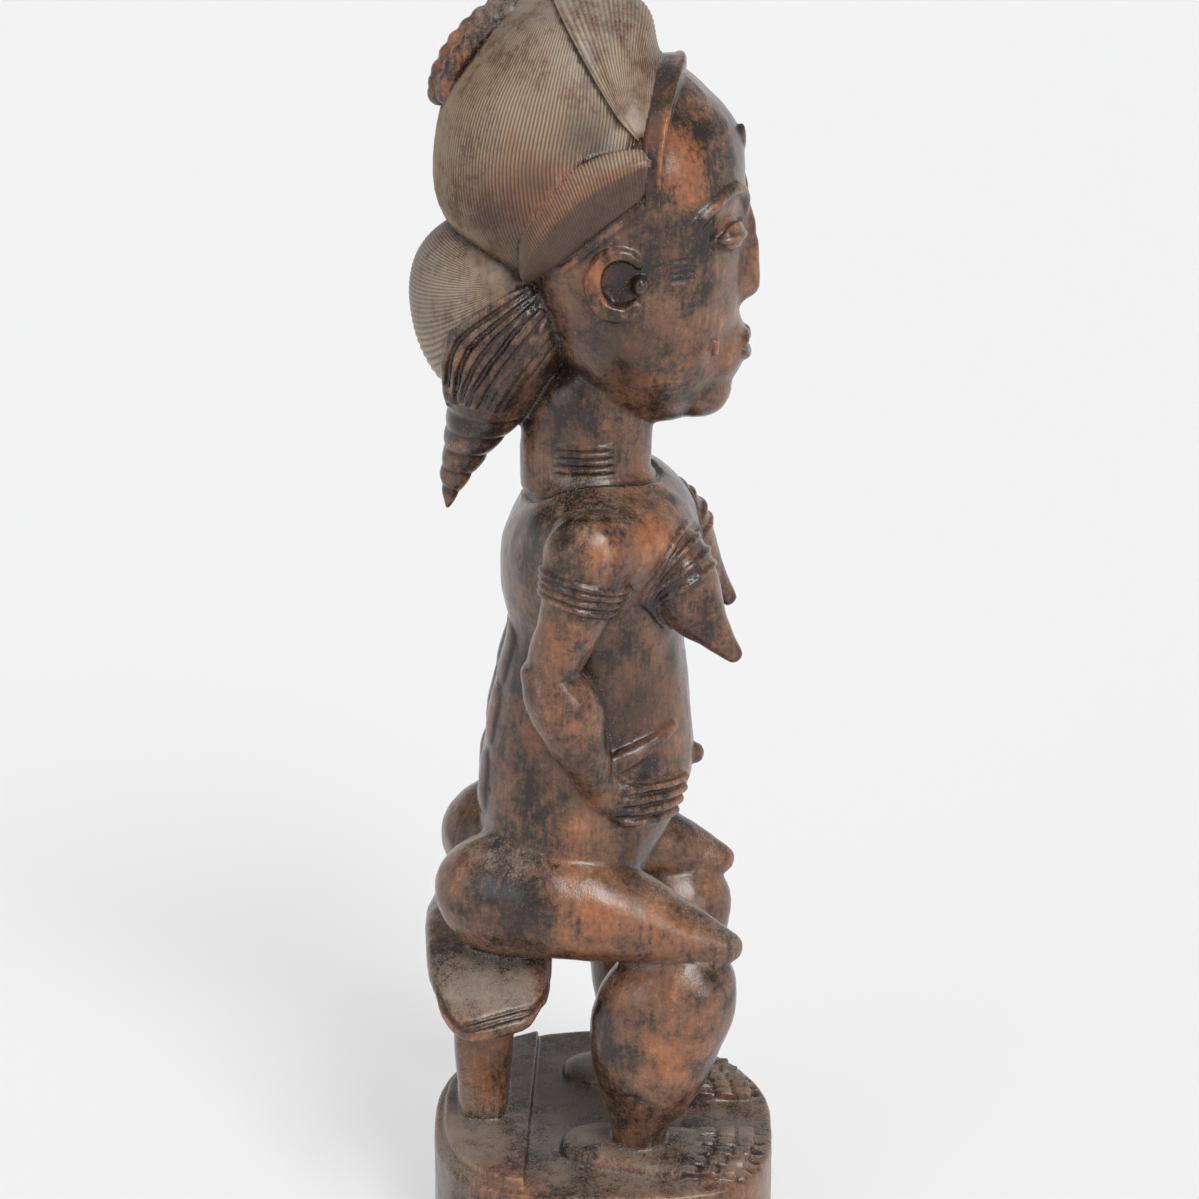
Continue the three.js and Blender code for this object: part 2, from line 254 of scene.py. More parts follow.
def put(name, data):
    """An object of some data, linked to the scene."""
    thing = bpy.data.objects.new(name, data)
    bpy.context.scene.collection.objects.link(thing)
    return thing


def object_of(bm, name):
    mesh = bpy.data.meshes.new(name)
    bm.to_mesh(mesh)
    bm.free()
    return put(name, mesh)


def worked(thing, *modifiers):
    """Applies modifiers, each a kind and its settings, to an object's mesh."""
    for kind, settings in modifiers:
        modifier = thing.modifiers.new(kind, kind)
        for name, value in settings.items():
            setattr(modifier, name, value)
    graph = bpy.context.evaluated_depsgraph_get()
    graph.update()
    mesh = bpy.data.meshes.new_from_object(thing.evaluated_get(graph))
    thing.modifiers.clear()
    thing.vertex_groups.clear()
    old, thing.data = thing.data, mesh
    bpy.data.meshes.remove(old)
    return thing


def triples(items, name, kind):
    """A value of three numbers from each item of a mesh."""
    flat = np.empty(3 * len(items), kind)
    items.foreach_get(name, flat)
    return flat.reshape(-1, 3)


def points_of(mesh):
    return triples(mesh.vertices, "co", np.float32).astype(float) / MM


def normals_of(mesh):
    return triples(mesh.vertex_normals, "vector", np.float32).astype(float)


def corners_of(mesh):
    mesh.calc_loop_triangles()
    return triples(mesh.loop_triangles, "vertices", np.int32)


def move_points(mesh, points):
    mesh.vertices.foreach_set("co", (points * MM).astype(np.float32).ravel())
    mesh.update()


def paint(mesh, name, values):
    """Keeps one number a vertex under a name, for the material."""
    layer = mesh.attributes.get(name) or mesh.attributes.new(name, "FLOAT", "POINT")
    layer.data.foreach_set("value", np.asarray(values, np.float32))


def painted(mesh, name):
    """The numbers kept under a name."""
    values = np.empty(len(mesh.vertices), np.float32)
    mesh.attributes[name].data.foreach_get("value", values)
    return values


def weigh(thing, name, weights):
    """A vertex group with one weight a vertex, in steps."""
    group = thing.vertex_groups.new(name=name)
    steps = np.round(np.clip(weights, 0, 1) * 10).astype(int)
    for step in range(1, 11):
        group.add(np.nonzero(steps == step)[0].tolist(), step / 10, "REPLACE")


# Carving: lines raised or cut along a path near the skin

FOOT_REACH = 1.5


class Carver:
    """Moves a mesh's points in and out along their normals, in millimetres.

    The cuts and the feet of raised lines are kept as dark places, where stain gathers.
    """

    def __init__(self, thing):
        self.mesh = thing.data
        self.points = points_of(self.mesh)
        self.normals = normals_of(self.mesh)
        self.skin = BVHTree.FromObject(thing, bpy.context.evaluated_depsgraph_get())
        self.dark = np.zeros(len(self.points))

    def near(self, path, margin):
        """The numbers of the points within a margin of a path, their distance and share along it."""
        path = np.asarray(path, float)
        low, high = path.min(axis=0) - margin, path.max(axis=0) + margin
        chosen = np.nonzero(np.all((self.points > low) & (self.points < high), axis=1))[0]
        at = self.points[chosen]
        best, share = np.full(len(chosen), 1e9), np.zeros(len(chosen))
        for step in range(len(path) - 1):
            leg = path[step + 1] - path[step]
            t = np.clip((at - path[step]) @ leg / max(leg @ leg, 1e-9), 0, 1)
            gap = np.linalg.norm(at - path[step] - t[:, None] * leg, axis=1)
            closer = gap < best
            best[closer] = gap[closer]
            share[closer] = (step + t[closer]) / (len(path) - 1)
        kept = best < margin
        return chosen[kept], best[kept], share[kept]

    def line(self, path, half, height, sharp=1.0, taper=0.12, both=False, fine=24):
        """Raises (or with a height below 0 cuts) a line; sharp turns it from round to pointed."""
        path = along(path, np.linspace(0, 1, fine)) if fine else np.asarray(path, float)
        for turn in mirrored(both):
            on_skin = [self.skin.find_nearest(Vector(point) * MM)[0] for point in path * turn]
            chosen, gap, share = self.near(np.array(on_skin) / MM, half * FOOT_REACH)
            part = gap / half
            profile = np.maximum(0, 1 - part**2) ** sharp
            ends = np.clip(np.minimum(share, 1 - share) / taper, 0, 1) ** 0.6 if taper else 1
            self.points[chosen] += self.normals[chosen] * (height * profile * ends)[:, None]
            foot = smooth(0.5, 0.95, part) * smooth(FOOT_REACH, 1.1, part)
            dark = (profile if height < 0 else foot) * min(1, abs(height)) * ends
            self.dark[chosen] = np.maximum(self.dark[chosen], dark)

    def done(self):
        self.points[:, 2] = np.maximum(self.points[:, 2], 0)
        move_points(self.mesh, self.points)
        paint(self.mesh, "stain_and_shade", self.dark)


# Sizes a user may change

def length_setting(name, description, default):
    return FloatProperty(name=name, description=description, default=default, unit="LENGTH")


def count_setting(name, description, default):
    return IntProperty(name=name, description=description, default=default)


def share_setting(name, description, default):
    return FloatProperty(name=name, description=description, default=default, subtype="FACTOR", min=0, max=1)


class CarvingSettings(bpy.types.PropertyGroup):
    block_grain: length_setting("Block grain", "Voxel of the roughed-out masses", 0.0013)
    fine_grain: length_setting("Fine grain", "Voxel of the finished body", 0.00075)
    body_faces: count_setting("Body triangles", "Triangles kept on the body before the hair joins it", 160000)
    unevenness: length_setting("Unevenness", "Height of the knife's uneven cuts", 0.0014)
    crown_grooves: count_setting("Crown grooves", "Combed grooves round the main lobe of hair", 184)
    panel_grooves: count_setting("Panel grooves", "Combed grooves round the front lobe of hair", 144)
    bun_grooves: count_setting("Bun grooves", "Combed grooves round the bun at the nape", 150)
    roll_grooves: count_setting("Roll grooves", "Combed grooves along each side roll", 58)
    groove_depth: length_setting("Groove depth", "Depth of a combed groove", 0.0006)


# Body forms

BASE_X, BASE_HALF_X, BASE_HALF_Y, BASE_TOP = -2.4, 68.1, 66.0, 42.0
PLATE_INSET, PLATE_TOP, PLATE_FRONT = 4.0, 46.3, 28.0
# How square each quarter of the base is, by the signs of x and y
BASE_CORNERS = {(-1, 1): 2.95, (-1, -1): 3.35, (1, 1): 2.2, (1, -1): 1.9}

TORSO = upright(
    [
        (18, 123, 26, 24), (17, 136, 34, 30), (15, 150, 40, 33), (12.5, 162, 43, 35.5),
        (9.5, 175, 43, 38), (6.3, 191, 41.5, 40.4), (5, 204, 40, 39.3), (4.8, 216, 38.5, 37.8),
        (4, 232, 37.5, 35), (2.5, 247, 37.5, 32.5), (1.5, 262, 40, 36), (0.8, 275, 46, 37.5),
        (-0.5, 287, 51, 36.5), (-1, 297, 53, 33), (0, 304, 50, 29), (3, 311, 38, 23),
    ],
    square=2.2,
    blunt=4,
)
NECK = upright(
    [(7, 285, 23, 25), (6.5, 300, 21.5, 24), (6, 320, 21, 24), (5, 335, 21.5, 24), (3, 350, 20, 22)],
    blunt=6,
)
HEAD = upright(
    [
        (-19, 327, 20, 22), (-17, 340, 28, 29), (-14, 356, 36, 35), (-10.5, 375, 41, 39),
        (-8, 395, 44, 42.5), (-7, 415, 44.5, 44), (-6, 435, 42.5, 43.5), (-3, 452, 38, 36),
        (0, 466, 30, 26),
    ],
    square=2.1,
    blunt=3,
)
BREAST = Form(
    [
        (-21, -10, 291, 14, 13), (-24.5, -24, 278.6, 16, 15.5), (-27.5, -34.2, 262.1, 11.8, 11.3),
        (-29.3, -41, 253.5, 7.2, 6.8), (-30, -46, 248, 4.4, 4.4), (-30, -50, 243.8, 3.6, 3.6),
    ],
    blunt=5,
)
UPPER_ARM = Form(
    [
        (-41, 5, 304, 12, 14), (-46, 5, 292, 15.5, 17), (-48, 8, 278, 13.5, 14.5),
        (-48, 12.5, 263, 11.5, 11.5), (-47.5, 17.5, 250, 11, 10.5), (-47, 20, 240, 9, 8),
    ],
    blunt=4,
)
FOREARM = Form(
    [
        (-46.5, 28.5, 249, 6.5, 6), (-47.5, 21.5, 243, 10.8, 10.6), (-48, 13.5, 231, 12.2, 13),
        (-47, 9, 218, 11, 11), (-44, 5, 206, 9, 9), (-41, 1, 196, 8, 7.5),
    ],
    blunt=4,
)
THIGH = [
    (-18, 60, 142.5, 14, 15), (-22, 50, 145.5, 21, 22), (-28, 33, 149, 24, 24),
    (-34, 10, 148, 22.5, 22), (-37, -12, 142.5, 18, 17), (-39, -32, 136, 12.5, 11.5),
    (-39.5, -44, 132.5, 8.5, 8), (-39.5, -52, 131, 6.5, 6),
]
# Lower legs: a share of the way from ankle to knee, then y, z and the half sizes
SHIN = [
    (0, -14, 32, 12, 11), (0, -14, 45, 11, 10.5), (0.1, -14.7, 54, 12, 11.3),
    (0.3, -16.2, 62, 14.5, 15.3), (0.5, -17.8, 73, 18.5, 20.3), (0.7, -19.6, 88, 21, 24.6),
    (0.85, -22.5, 104, 22.5, 27.3), (1, -26, 119, 20.5, 25), (1, -28, 133, 14, 17),
]
# Legs: the ankle's and the knee's x
LEGS = [(-34, -39), (29, 37.5)]
# Feet: the heel's and the toes' x and the sole's half width
FEET = [(-33, -40, 19.5), (28, 19, 16)]
# Toes: their pitch and half width as shares of the sole's, a joint's length and the first tip's y
TOE_PITCH, TOE_HALF, TOE_JOINT, TOE_TIP = 0.38, 0.165, 7.4, -59
# Fingers: the first one's height, the step to the next and the fall from knuckle to tip
FINGER_TOP, FINGER_PITCH, FINGER_FALL = 197.2, 4.5, 0.9


def base_outline(angle, inset):
    """A point of the base's rim, drawn in by an inset."""
    square = BASE_CORNERS[(-1 if math.cos(angle) < 0 else 1, -1 if math.sin(angle) < 0 else 1)]
    x = BASE_X + (BASE_HALF_X - inset) * float(power(math.cos(angle), 2 / square))
    return Vector((x, (BASE_HALF_Y - inset) * float(power(math.sin(angle), 2 / square)), 0)) * MM


def verts_of(geometry):
    return [part for part in geometry if isinstance(part, bmesh.types.BMVert)]


def add_slab(bm, inset, bottom, top, rim, cut_front=None):
    """A slab of the base's outline with rounded edges, cut off at its front where asked."""
    made = bmesh.ops.create_circle(bm, cap_ends=True, segments=180, radius=1)["verts"]
    for number, vert in enumerate(made):
        angle = 2 * math.pi * number / len(made)
        vert.co = base_outline(angle, inset) + Vector((0, 0, bottom * MM))
    face = made[0].link_faces[0]
    risen = bmesh.ops.extrude_face_region(bm, geom=[face])["geom"]
    lifted = verts_of(risen)
    bmesh.ops.translate(bm, verts=lifted, vec=Vector((0, 0, (top - bottom) * MM)))
    slab = list({*made, *lifted})
    if cut_front is not None:
        geometry = slab + list({edge for vert in slab for edge in vert.link_edges})
        geometry += list({near for vert in slab for near in vert.link_faces})
        cut = bmesh.ops.bisect_plane(
            bm,
            geom=geometry,
            plane_co=(0, cut_front * MM, 0),
            plane_no=(-0.03, -1, 0),
            clear_outer=True,
        )["geom_cut"]
        edges = [part for part in cut if isinstance(part, bmesh.types.BMEdge)]
        bmesh.ops.contextual_create(bm, geom=edges)
        slab = [vert for vert in slab if vert.is_valid] + verts_of(cut)
    edges = {edge for vert in slab for edge in vert.link_edges}
    high = [edge for edge in edges if min(vert.co.z for vert in edge.verts) > (top - 0.1) * MM]
    bmesh.ops.bevel(bm, geom=high, offset=rim * MM, affect="EDGES", segments=3, profile=0.5, material=-1)


def seat_form():
    """The stool's seat, which bends down towards its ends."""
    half = [
        (0, 19, 68.5, 121, 8), (26, 19, 67, 119.5, 6.5), (44, 19.5, 63, 116, 5), (54, 20, 60, 112, 4.2),
        (63, 22.5, 51, 107, 3.6),
    ]
    half = [(x, (front + back) / 2, z, (back - front) / 2, thick) for x, front, back, z, thick in half]
    return Form(flip(half[:0:-1]) + half, square=3.4, blunt=7, side=Y)


SEAT = seat_form()
POST = upright(
    [
        (47, 44, 20, 9.5), (46.5, 64, 19.5, 10.5), (46, 88, 22, 12.5), (45, 104, 27, 15),
        (44, 119, 34, 17),
    ],
    square=5,
    blunt=12,
)


def toe_places(heel, toes, width):
    """Each toe's middle x, its tip's y and the way to the next toe."""
    pitch = TOE_PITCH * width * (1 if heel > 0 else -1)
    return [(toes + pitch * (toe - 2), TOE_TIP + 0.5 * toe * toe, pitch) for toe in range(5)]


def finger_heights(finger):
    return FINGER_TOP - FINGER_PITCH * finger - FINGER_FALL * np.arange(4)


def add_foot(bm, heel, toes, width):
    """A low foot and its five square toes, side by side."""
    sole = Form(
        [
            (heel, 16, 42.5, 0.6 * width, 4),
            (heel, 3, 43, 0.8 * width, 5),
            ((heel + toes) / 2, -18, 43, 0.9 * width, 4.8),
            (toes, -41, 42.3, width, 3.4),
            (toes, -57, 41.8, width, 2.4),
        ],
        square=2.6,
        blunt=4,
    )
    add_skin(bm, sole, 48, 40)
    for x, tip, _ in toe_places(heel, toes, width):
        for joint in range(3):
            back = tip + TOE_JOINT * (joint + 1)
            half = (TOE_HALF * width, 3.3)
            stations = [(x, back, 43, *half), (x, back - TOE_JOINT + 0.3, 43, *half)]
            add_skin(bm, Form(stations, square=4.5, blunt=11), 32, 24)


def rough_masses(bm):
    """The large forms of the body, before their joints are rounded."""
    add_skin(bm, TORSO, 96, 72)
    add_skin(bm, NECK, 72, 32)
    add_skin(bm, HEAD, 96, 72)
    for form in (BREAST, UPPER_ARM, FOREARM, Form(THIGH, blunt=4)):
        add_skin(bm, form, both=True)
    # Shoulders and the palms on the belly
    add_egg(bm, (-34, -1, 290), (20, 22, 16), both=True)
    palm = TORSO.skin([-94, -80, -66, -48], [199, 195, 191, 189])
    palm_half = [(7, 7), (8.5, 5.5), (10, 4.5), (9.5, 3.6)]
    add_skin(bm, Form(with_halves(palm, palm_half), side=Z), both=True)
    for ankle, knee in LEGS:
        shin = [(ankle + (knee - ankle) * share, *rest) for share, *rest in SHIN]
        add_skin(bm, Form(shin, blunt=6, level=True))
    add_skin(bm, POST, 64, 40)
    add_skin(bm, SEAT, 72, 72)


# The face is a calm one of the carver's usual pattern, on even proportions
BROW, EYE, NOSE_BASE, MOUTH, CHIN = 415.0, 401.0, 372.0, 356.0, 334.0
MUZZLE, MUZZLE_HALF = (0, -41.5, MOUTH), (19, 10.5, 14.5)


def face_masses(bm):
    """Nose, brow, muzzle and chin, rounded together with the head."""
    bridge = HEAD.skin(0, BROW - 2, -2.0)[0]
    tip = HEAD.skin(0, NOSE_BASE + 5, 3.0)[0]
    nose = [
        (bridge[1], bridge[2], 3.4, 3.2),
        ((bridge[1] + tip[1]) / 2 - 0.4, (bridge[2] + tip[2]) / 2 + 2, 4.0, 4.6),
        (tip[1] + 1.6, tip[2], 5.4, 6.0),
        (tip[1] + 5, tip[2] - 5, 6, 5),
    ]
    add_skin(bm, upright(nose, blunt=4), 32, 32)
    add_egg(bm, (-5.6, tip[1] + 4.8, tip[2] - 2), (3.8, 4.4, 3.6), both=True)
    add_egg(bm, MUZZLE, MUZZLE_HALF)
    add_egg(bm, (0, -35, CHIN + 5), (17, 12, 10.5))


def hollow_face(thing):
    """Presses the eye sockets in, and the hollows beside the mouth and under the cheeks."""
    knife = Carver(thing)
    knife.line(HEAD.skin([-44, -28, -12], EYE + 1, 0), 11, -2.6, 1.2, 0.3, both=True)
    knife.line(HEAD.skin([-30, -38, -44], [366, 358, 350], 0), 9, -1.2, 1.4, 0.3, both=True)
    knife.done()


def on_muzzle(x, z):
    """Points of the muzzle's skin in front."""
    x, z = np.asarray(x, float), np.asarray(z, float)
    left = 1 - ((x - MUZZLE[0]) / MUZZLE_HALF[0]) ** 2 - ((z - MUZZLE[2]) / MUZZLE_HALF[2]) ** 2
    return np.stack([x, MUZZLE[1] - MUZZLE_HALF[1] * np.sqrt(np.maximum(left, 0)), z], axis=1)


def face_details(bm):
    """Lowered lids, lips and the raised marks of the brow and cheeks."""
    add_egg(bm, HEAD.skin(-28, EYE, -4.4)[0], (12.5, 8, 7.4), both=True)
    across = np.array([-12.5, -8, -3.6, 0, 3.6, 8, 12.5])
    upper = on_muzzle(across, MOUTH + np.array([0.6, 2.2, 3.4, 2.6, 3.4, 2.2, 0.6]))
    lower = on_muzzle(across * 0.9, MOUTH - np.array([0.4, 2.4, 3.3, 3.5, 3.3, 2.4, 0.4]))
    for lip, halves, thick in (
        (upper, (1, 1.8, 2.3, 2.1, 2.3, 1.8, 1), 1.9),
        (lower, (1, 1.9, 2.5, 2.7, 2.5, 1.9, 1), 2.1),
    ):
        add_skin(bm, Form(with_halves(lip, [(half, thick) for half in halves]), side=Z), 20, 40)
    add_rod(bm, HEAD.skin([-41, -41], [358, 364], 0.2), 2.2, blunt=9, height=1.2)
    add_egg(bm, HEAD.skin(0, 431)[0], (3.4, 1.8, 5.4))


# Where the rough masses are rounded off, on both sides: centre, radius and amount
SOFT = [
    # Shoulders and the tops of the arms
    ((-42, 2, 298), 30, 1.0), ((-44, 0, 284), 24, 1.0),
    # Elbows, wrists and palms
    ((-47, 22, 244), 9, 0.7), ((-42, 2, 200), 15, 1.0), ((-34, -12, 190), 16, 0.5),
    # Roots of the breasts, jaw and nape
    ((-24, -18, 290), 18, 0.9), ((0, -10, 338), 26, 0.35),
    # Face
    ((0, -42, 338), 22, 0.8), ((0, -48, 375), 34, 0.55), ((0, -46, 405), 30, 0.5),
    # Hips, and the crooks of the seat and post
    ((-30, 40, 160), 22, 0.5), ((0, 45, 112), 34, 0.4),
]
# How much the rest is rounded, and the share of a spot's radius that gets its whole amount
SOFT_ELSEWHERE, SOFT_CORE = 0.12, 0.35


def strongest_spot(points, spots, core=0.0):
    """The strongest of some soft round spots, laid on both sides, at each point."""
    amount = np.zeros(len(points))
    for centre, radius, strength in spots:
        for turn in mirrored():
            gap = np.linalg.norm(points - np.array(centre) * turn, axis=1)
            amount = np.maximum(amount, strength * smooth(radius, core * radius, gap))
    return amount


EAR_X, EAR_Y, EAR_Z, EAR_HALF_Y, EAR_HALF_Z = -45.2, -5.6, 389.5, 9.2, 10.6
# How thick the ear's rim is round from its upper end to its lower one
EAR_RIM = 2.9 * np.array([0.6, 0.75, 0.85, 0.95, 1.05, 1.15, 1.2, 1.05, 0.8])


def ear_rim():
    """Stations of the ear's rim, open towards the face."""
    stations = []
    for number, thick in enumerate(EAR_RIM):
        angle = math.radians(35 + 36 * number)
        y, z = EAR_Y - EAR_HALF_Y * math.cos(angle), EAR_Z + EAR_HALF_Z * math.sin(angle)
        stations.append((EAR_X, y, z, thick, 1.1 * thick))
    return stations


def band_line(x):
    """How far forward the headband lies at a distance from the middle."""
    return -23.2 + 7.0 * (np.abs(x) / 44.5) ** 1.3


def band_form(forward, wide, thick):
    """A strip over the head from temple to temple that narrows towards its ends."""
    stations = []
    for angle in np.radians(np.linspace(-98, 98, 13)):
        x, narrow = 44.7 * math.sin(angle), 1 - 0.4 * math.sin(angle) ** 2
        y = float(band_line(x)) - forward * narrow
        stations.append((x, y, 421 + 37.5 * math.cos(angle), wide * narrow, thick))
    return Form(stations, side=Y, blunt=3.2, square=2.8)


def small_forms(bm):
    """The forms that keep crisp joints: base, feet, hands, ears, face lines and braids."""
    add_slab(bm, 0, 0, BASE_TOP, 1.8)
    add_slab(bm, PLATE_INSET, BASE_TOP - 4, PLATE_TOP, 1.0, cut_front=PLATE_FRONT)
    for foot in FEET:
        add_foot(bm, *foot)
    # Four fingers forward and the thumb above them
    for finger in range(4):
        add_rod(bm, TORSO.skin([-72, -58, -44, -29], finger_heights(finger), 1.7), 2.2, blunt=7)
    thumb = TORSO.skin([-88, -70, -52, -36], [203, 208.5, 213, 216.3], 0.6)
    thumb_half = [(5, 4), (4, 3.4), (2.9, 2.7), (2.2, 2.3)]
    add_skin(bm, Form(with_halves(thumb, thumb_half), side=Z, blunt=6), 24, 32, both=True)
    # Ears
    add_skin(bm, Form(ear_rim(), blunt=7), 20, 48, both=True)
    add_egg(bm, (-44.5, -12.5, 389), (3.4, 3.4, 3.6), both=True)
    face_details(bm)
    # Navel
    add_egg(bm, TORSO.skin(0, 194)[0], (4.0, 4.0, 4.2))
    # Headband: a broad strip with a raised front edge
    add_skin(bm, band_form(0, 5.4, 2.0), 24, 96)
    add_skin(bm, band_form(5.0, 1.3, 2.7), 20, 96)


# Hair

CROWN = upright(
    [
        (8, 370, 14, 13), (10, 384, 29.5, 32), (14, 398, 37.5, 39.5), (17, 412, 42, 43),
        (19, 430, 44, 41), (16, 448, 43, 39.5), (13.2, 463, 38, 32), (10, 476, 29, 26.2),
        (9, 487, 16, 15),
    ],
    blunt=6,
)
BUN_SHAPE = upright(
    [
        (46, 336, 18, 14), (42, 348, 27, 23), (40, 363, 31, 29), (40, 379, 31, 30), (38, 394, 28, 28),
        (34, 408, 22, 20),
    ],
)
TAIL = upright(
    [
        (57.5, 292, 1.4, 1.2), (54, 305, 6.5, 6), (49, 316, 10.5, 9.5), (41.5, 331, 19, 15.5),
        (36, 346, 28, 19), (28, 363, 33, 18), (20, 382, 33, 12),
    ],
    blunt=5,
)
# Edges of a side roll from the headband back to its tip: a wedge with a ridge below its top face
ROLL_EDGES = {
    "inner_top": [(-36, -17, 434), (-36, 2, 430), (-35, 18, 418), (-31, 26, 404), (-27, 28, 389)],
    "top": [(-42, -17, 438.5), (-43, 2, 434), (-41.5, 18, 424), (-38.5, 28, 408), (-32.5, 30.5, 390)],
    "ridge": [(-46.5, -17, 434.5), (-48.5, 0, 427.5), (-47.8, 14, 416.5), (-44, 25, 403), (-35, 30, 388)],
    "foot": [(-45, -17, 421), (-45.8, -4, 412), (-43.5, 8, 401.5), (-39, 18, 393), (-32.5, 26, 385.5)],
    "inner_foot": [(-36, -17, 424), (-36, -2, 414), (-35, 10, 402), (-31, 20, 392), (-27, 26, 386)],
}
# How far round the roll each edge lies, and how much its lower face swells
ROLL_TURNS, ROLL_SWELL = [0, 0.16, 0.34, 0.74, 0.88, 1], 1.4
# Where the grooves of the front lobe and of the bun are seen from, and where they run together
HAIR_CENTRE, TEMPLE = np.array([0.0, 6.0, 440.0]), np.array([-40.0, -14.0, 437.0])
BUN_CENTRE, BEHIND_EAR = np.array([0.0, 38.0, 373.0]), np.array([-29.0, 30.0, 386.0])
# How nearly the fan of grooves closes at its poles, and how soon a groove gets its whole depth
FAN_CLOSE, GROOVE_RISE = 0.98, 2.2


def pole_angle(share):
    """The angle from a ball's first pole at shares of the way to its last."""
    return np.arccos(np.clip(1 - 2 * share, -1, 1))


def fan(share, angle, pole):
    """Directions that spread from a pole beside the head to its mirror image."""
    polar = pole_angle(share)
    turned = np.stack([-np.cos(polar), -np.sin(polar) * np.cos(angle), np.sin(polar) * np.sin(angle)], axis=1)
    shift = np.array([0.0, pole[1] / abs(pole[0]), pole[2] / abs(pole[0])])
    return unit(turned + shift * FAN_CLOSE)


def comb(name, sides, rings, shape, depth):
    """A closed lobe whose columns run from pole to pole, every other one pressed in as a groove.

    shape gives the points for shares, angles and depths pressed in.
    """
    share, angle = ball_shares(unit_ball(sides, rings)[1])
    trough = np.round(angle / (2 * math.pi) * sides).astype(int) % 2
    open_part = np.sin(pole_angle(share))
    pressed = depth * trough * np.clip(open_part * GROOVE_RISE, 0, 1)
    mesh = ball_mesh(sides, rings, lambda at: shape(share, angle, pressed))
    paint(mesh, "stain_and_shade", trough)
    paint(mesh, "hair", np.ones(len(trough)))
    return put(name, mesh)


def crown_shape(share, angle, pressed):
    points = CROWN.point(share, angle, -pressed)
    # Where the head would come through in front, the hair lies over it
    behind = smooth(-24, -16, points[:, 1]) * smooth(402, 418, points[:, 2])
    over = (HEAD.reach(points[:, 1], points[:, 2]) + 0.9 - pressed) * behind
    wide = np.maximum(np.abs(points[:, 0]), over)
    points[:, 0] = wide * np.where(points[:, 0] < 0, -1, 1)
    return points


def panel_shape(share, angle, pressed):
    """The front lobe: its grooves run over the head from temple to temple."""
    directions = fan(share, angle, TEMPLE - HAIR_CENTRE)
    skin = outermost([CROWN, HEAD], HAIR_CENTRE, directions)
    # The lobe stands proud between the brow side and the ridge, and sinks in elsewhere
    turn = np.degrees(angle)
    proud = 1.1 + 1.3 * smooth(116, 130, turn)
    inside = (turn < -8) | (turn > 133)
    # Its front edge dips under the headband
    ahead = band_line(skin[:, 0]) - skin[:, 1]
    dip = 9 * smooth(-3.5, 1.5, ahead)
    return skin + directions * (np.where(inside, -9.0, proud - dip) - pressed)[:, None]


def bun_shape(share, angle, pressed):
    """The bun: its grooves run round the back from ear to ear."""
    directions = fan(share, angle, BEHIND_EAR - BUN_CENTRE)
    skin = outermost([BUN_SHAPE], BUN_CENTRE, directions, farthest=70.0)
    return skin - directions * pressed[:, None]


def roll_shape(share, angle, pressed):
    """A side roll, its grooves across its length."""
    edges = [along(path, share) for path in ROLL_EDGES.values()]
    edges.append(edges[0])
    centre = np.mean(edges[:-1], axis=0)
    turn = (angle / (2 * math.pi)) % 1
    points = np.zeros_like(centre)
    for first in range(5):
        low, high = ROLL_TURNS[first], ROLL_TURNS[first + 1]
        part = (turn - low) / (high - low)
        on_leg = edges[first] + (edges[first + 1] - edges[first]) * part[:, None]
        if first == 2:
            on_leg[:, 0] -= ROLL_SWELL * np.sin(np.pi * np.clip(part, 0, 1))
        points = np.where(((part >= 0) & (part < 1))[:, None], on_leg, points)
    close = np.maximum(0, 1 - np.abs(2 * share - 1) ** 9) ** (1 / 3)
    points = centre + (points - centre) * close[:, None]
    points[:, 0] += pressed
    return points


def add_rolls(grooves, depth):
    """The two side rolls as one object."""
    bm = bmesh.new()
    sides, rings = 32, 2 * grooves
    share, angle = ball_shares(unit_ball(sides, rings)[1])
    row = np.round(pole_angle(share) / math.pi * rings).astype(int)
    trough = row % 2
    points = roll_shape(row / rings, angle, depth * trough)
    turn_share = (angle / (2 * math.pi)) % 1
    ridge = 0.9 * smooth(0.07, 0.01, np.abs(turn_share - ROLL_TURNS[2]))
    # The lower face gets painted shade: stain over its grooves and ridges, and orange on them
    lower = smooth(0.36, 0.42, turn_share)
    for turn in mirrored():
        mesh = ball_mesh(sides, rings, lambda at, turn=turn: points * turn)
        paint(mesh, "stain_and_shade", np.maximum(trough, 0.84 * lower))
        paint(mesh, "hair", np.ones(len(trough)))
        paint(mesh, "wear_and_highlight", np.maximum(ridge, 0.5 * lower))
        bm.from_mesh(mesh)
        bpy.data.meshes.remove(mesh)
    return object_of(bm, "hair_rolls")


# Side view paths (y, z) of the pendant braid's strands, from behind the ear to the twist
STRANDS = [
    [(25.7, 383.9), (39.5, 376.4), (50.4, 368.1), (54.9, 360.4), (56.4, 349.5), (55.5, 334.6)],
    [(24.8, 382.1), (36.3, 375.3), (47.2, 366.1), (51.7, 357.3), (53.4, 344.3), (53.7, 336.1)],
    [(23.7, 379.8), (34.3, 372), (44, 361.7), (49.2, 351.3), (51.3, 338.5)],
    [(22, 378.2), (29, 372.6), (37.5, 364.1), (44.1, 354.4), (47.8, 343.5), (48.5, 337.6)],
    [(21.6, 375.6), (27.9, 368.5), (36.6, 357.1), (43.3, 345.8), (46.8, 337.5)],
]
# Side view line (y, z) of the crest's knobs, from its low end behind over the top
CREST = [(58, 447), (57, 454), (52.5, 463), (46, 470.5), (38, 477), (28, 482.5), (16, 486.5), (4, 486.5)]
KNOBS = 13


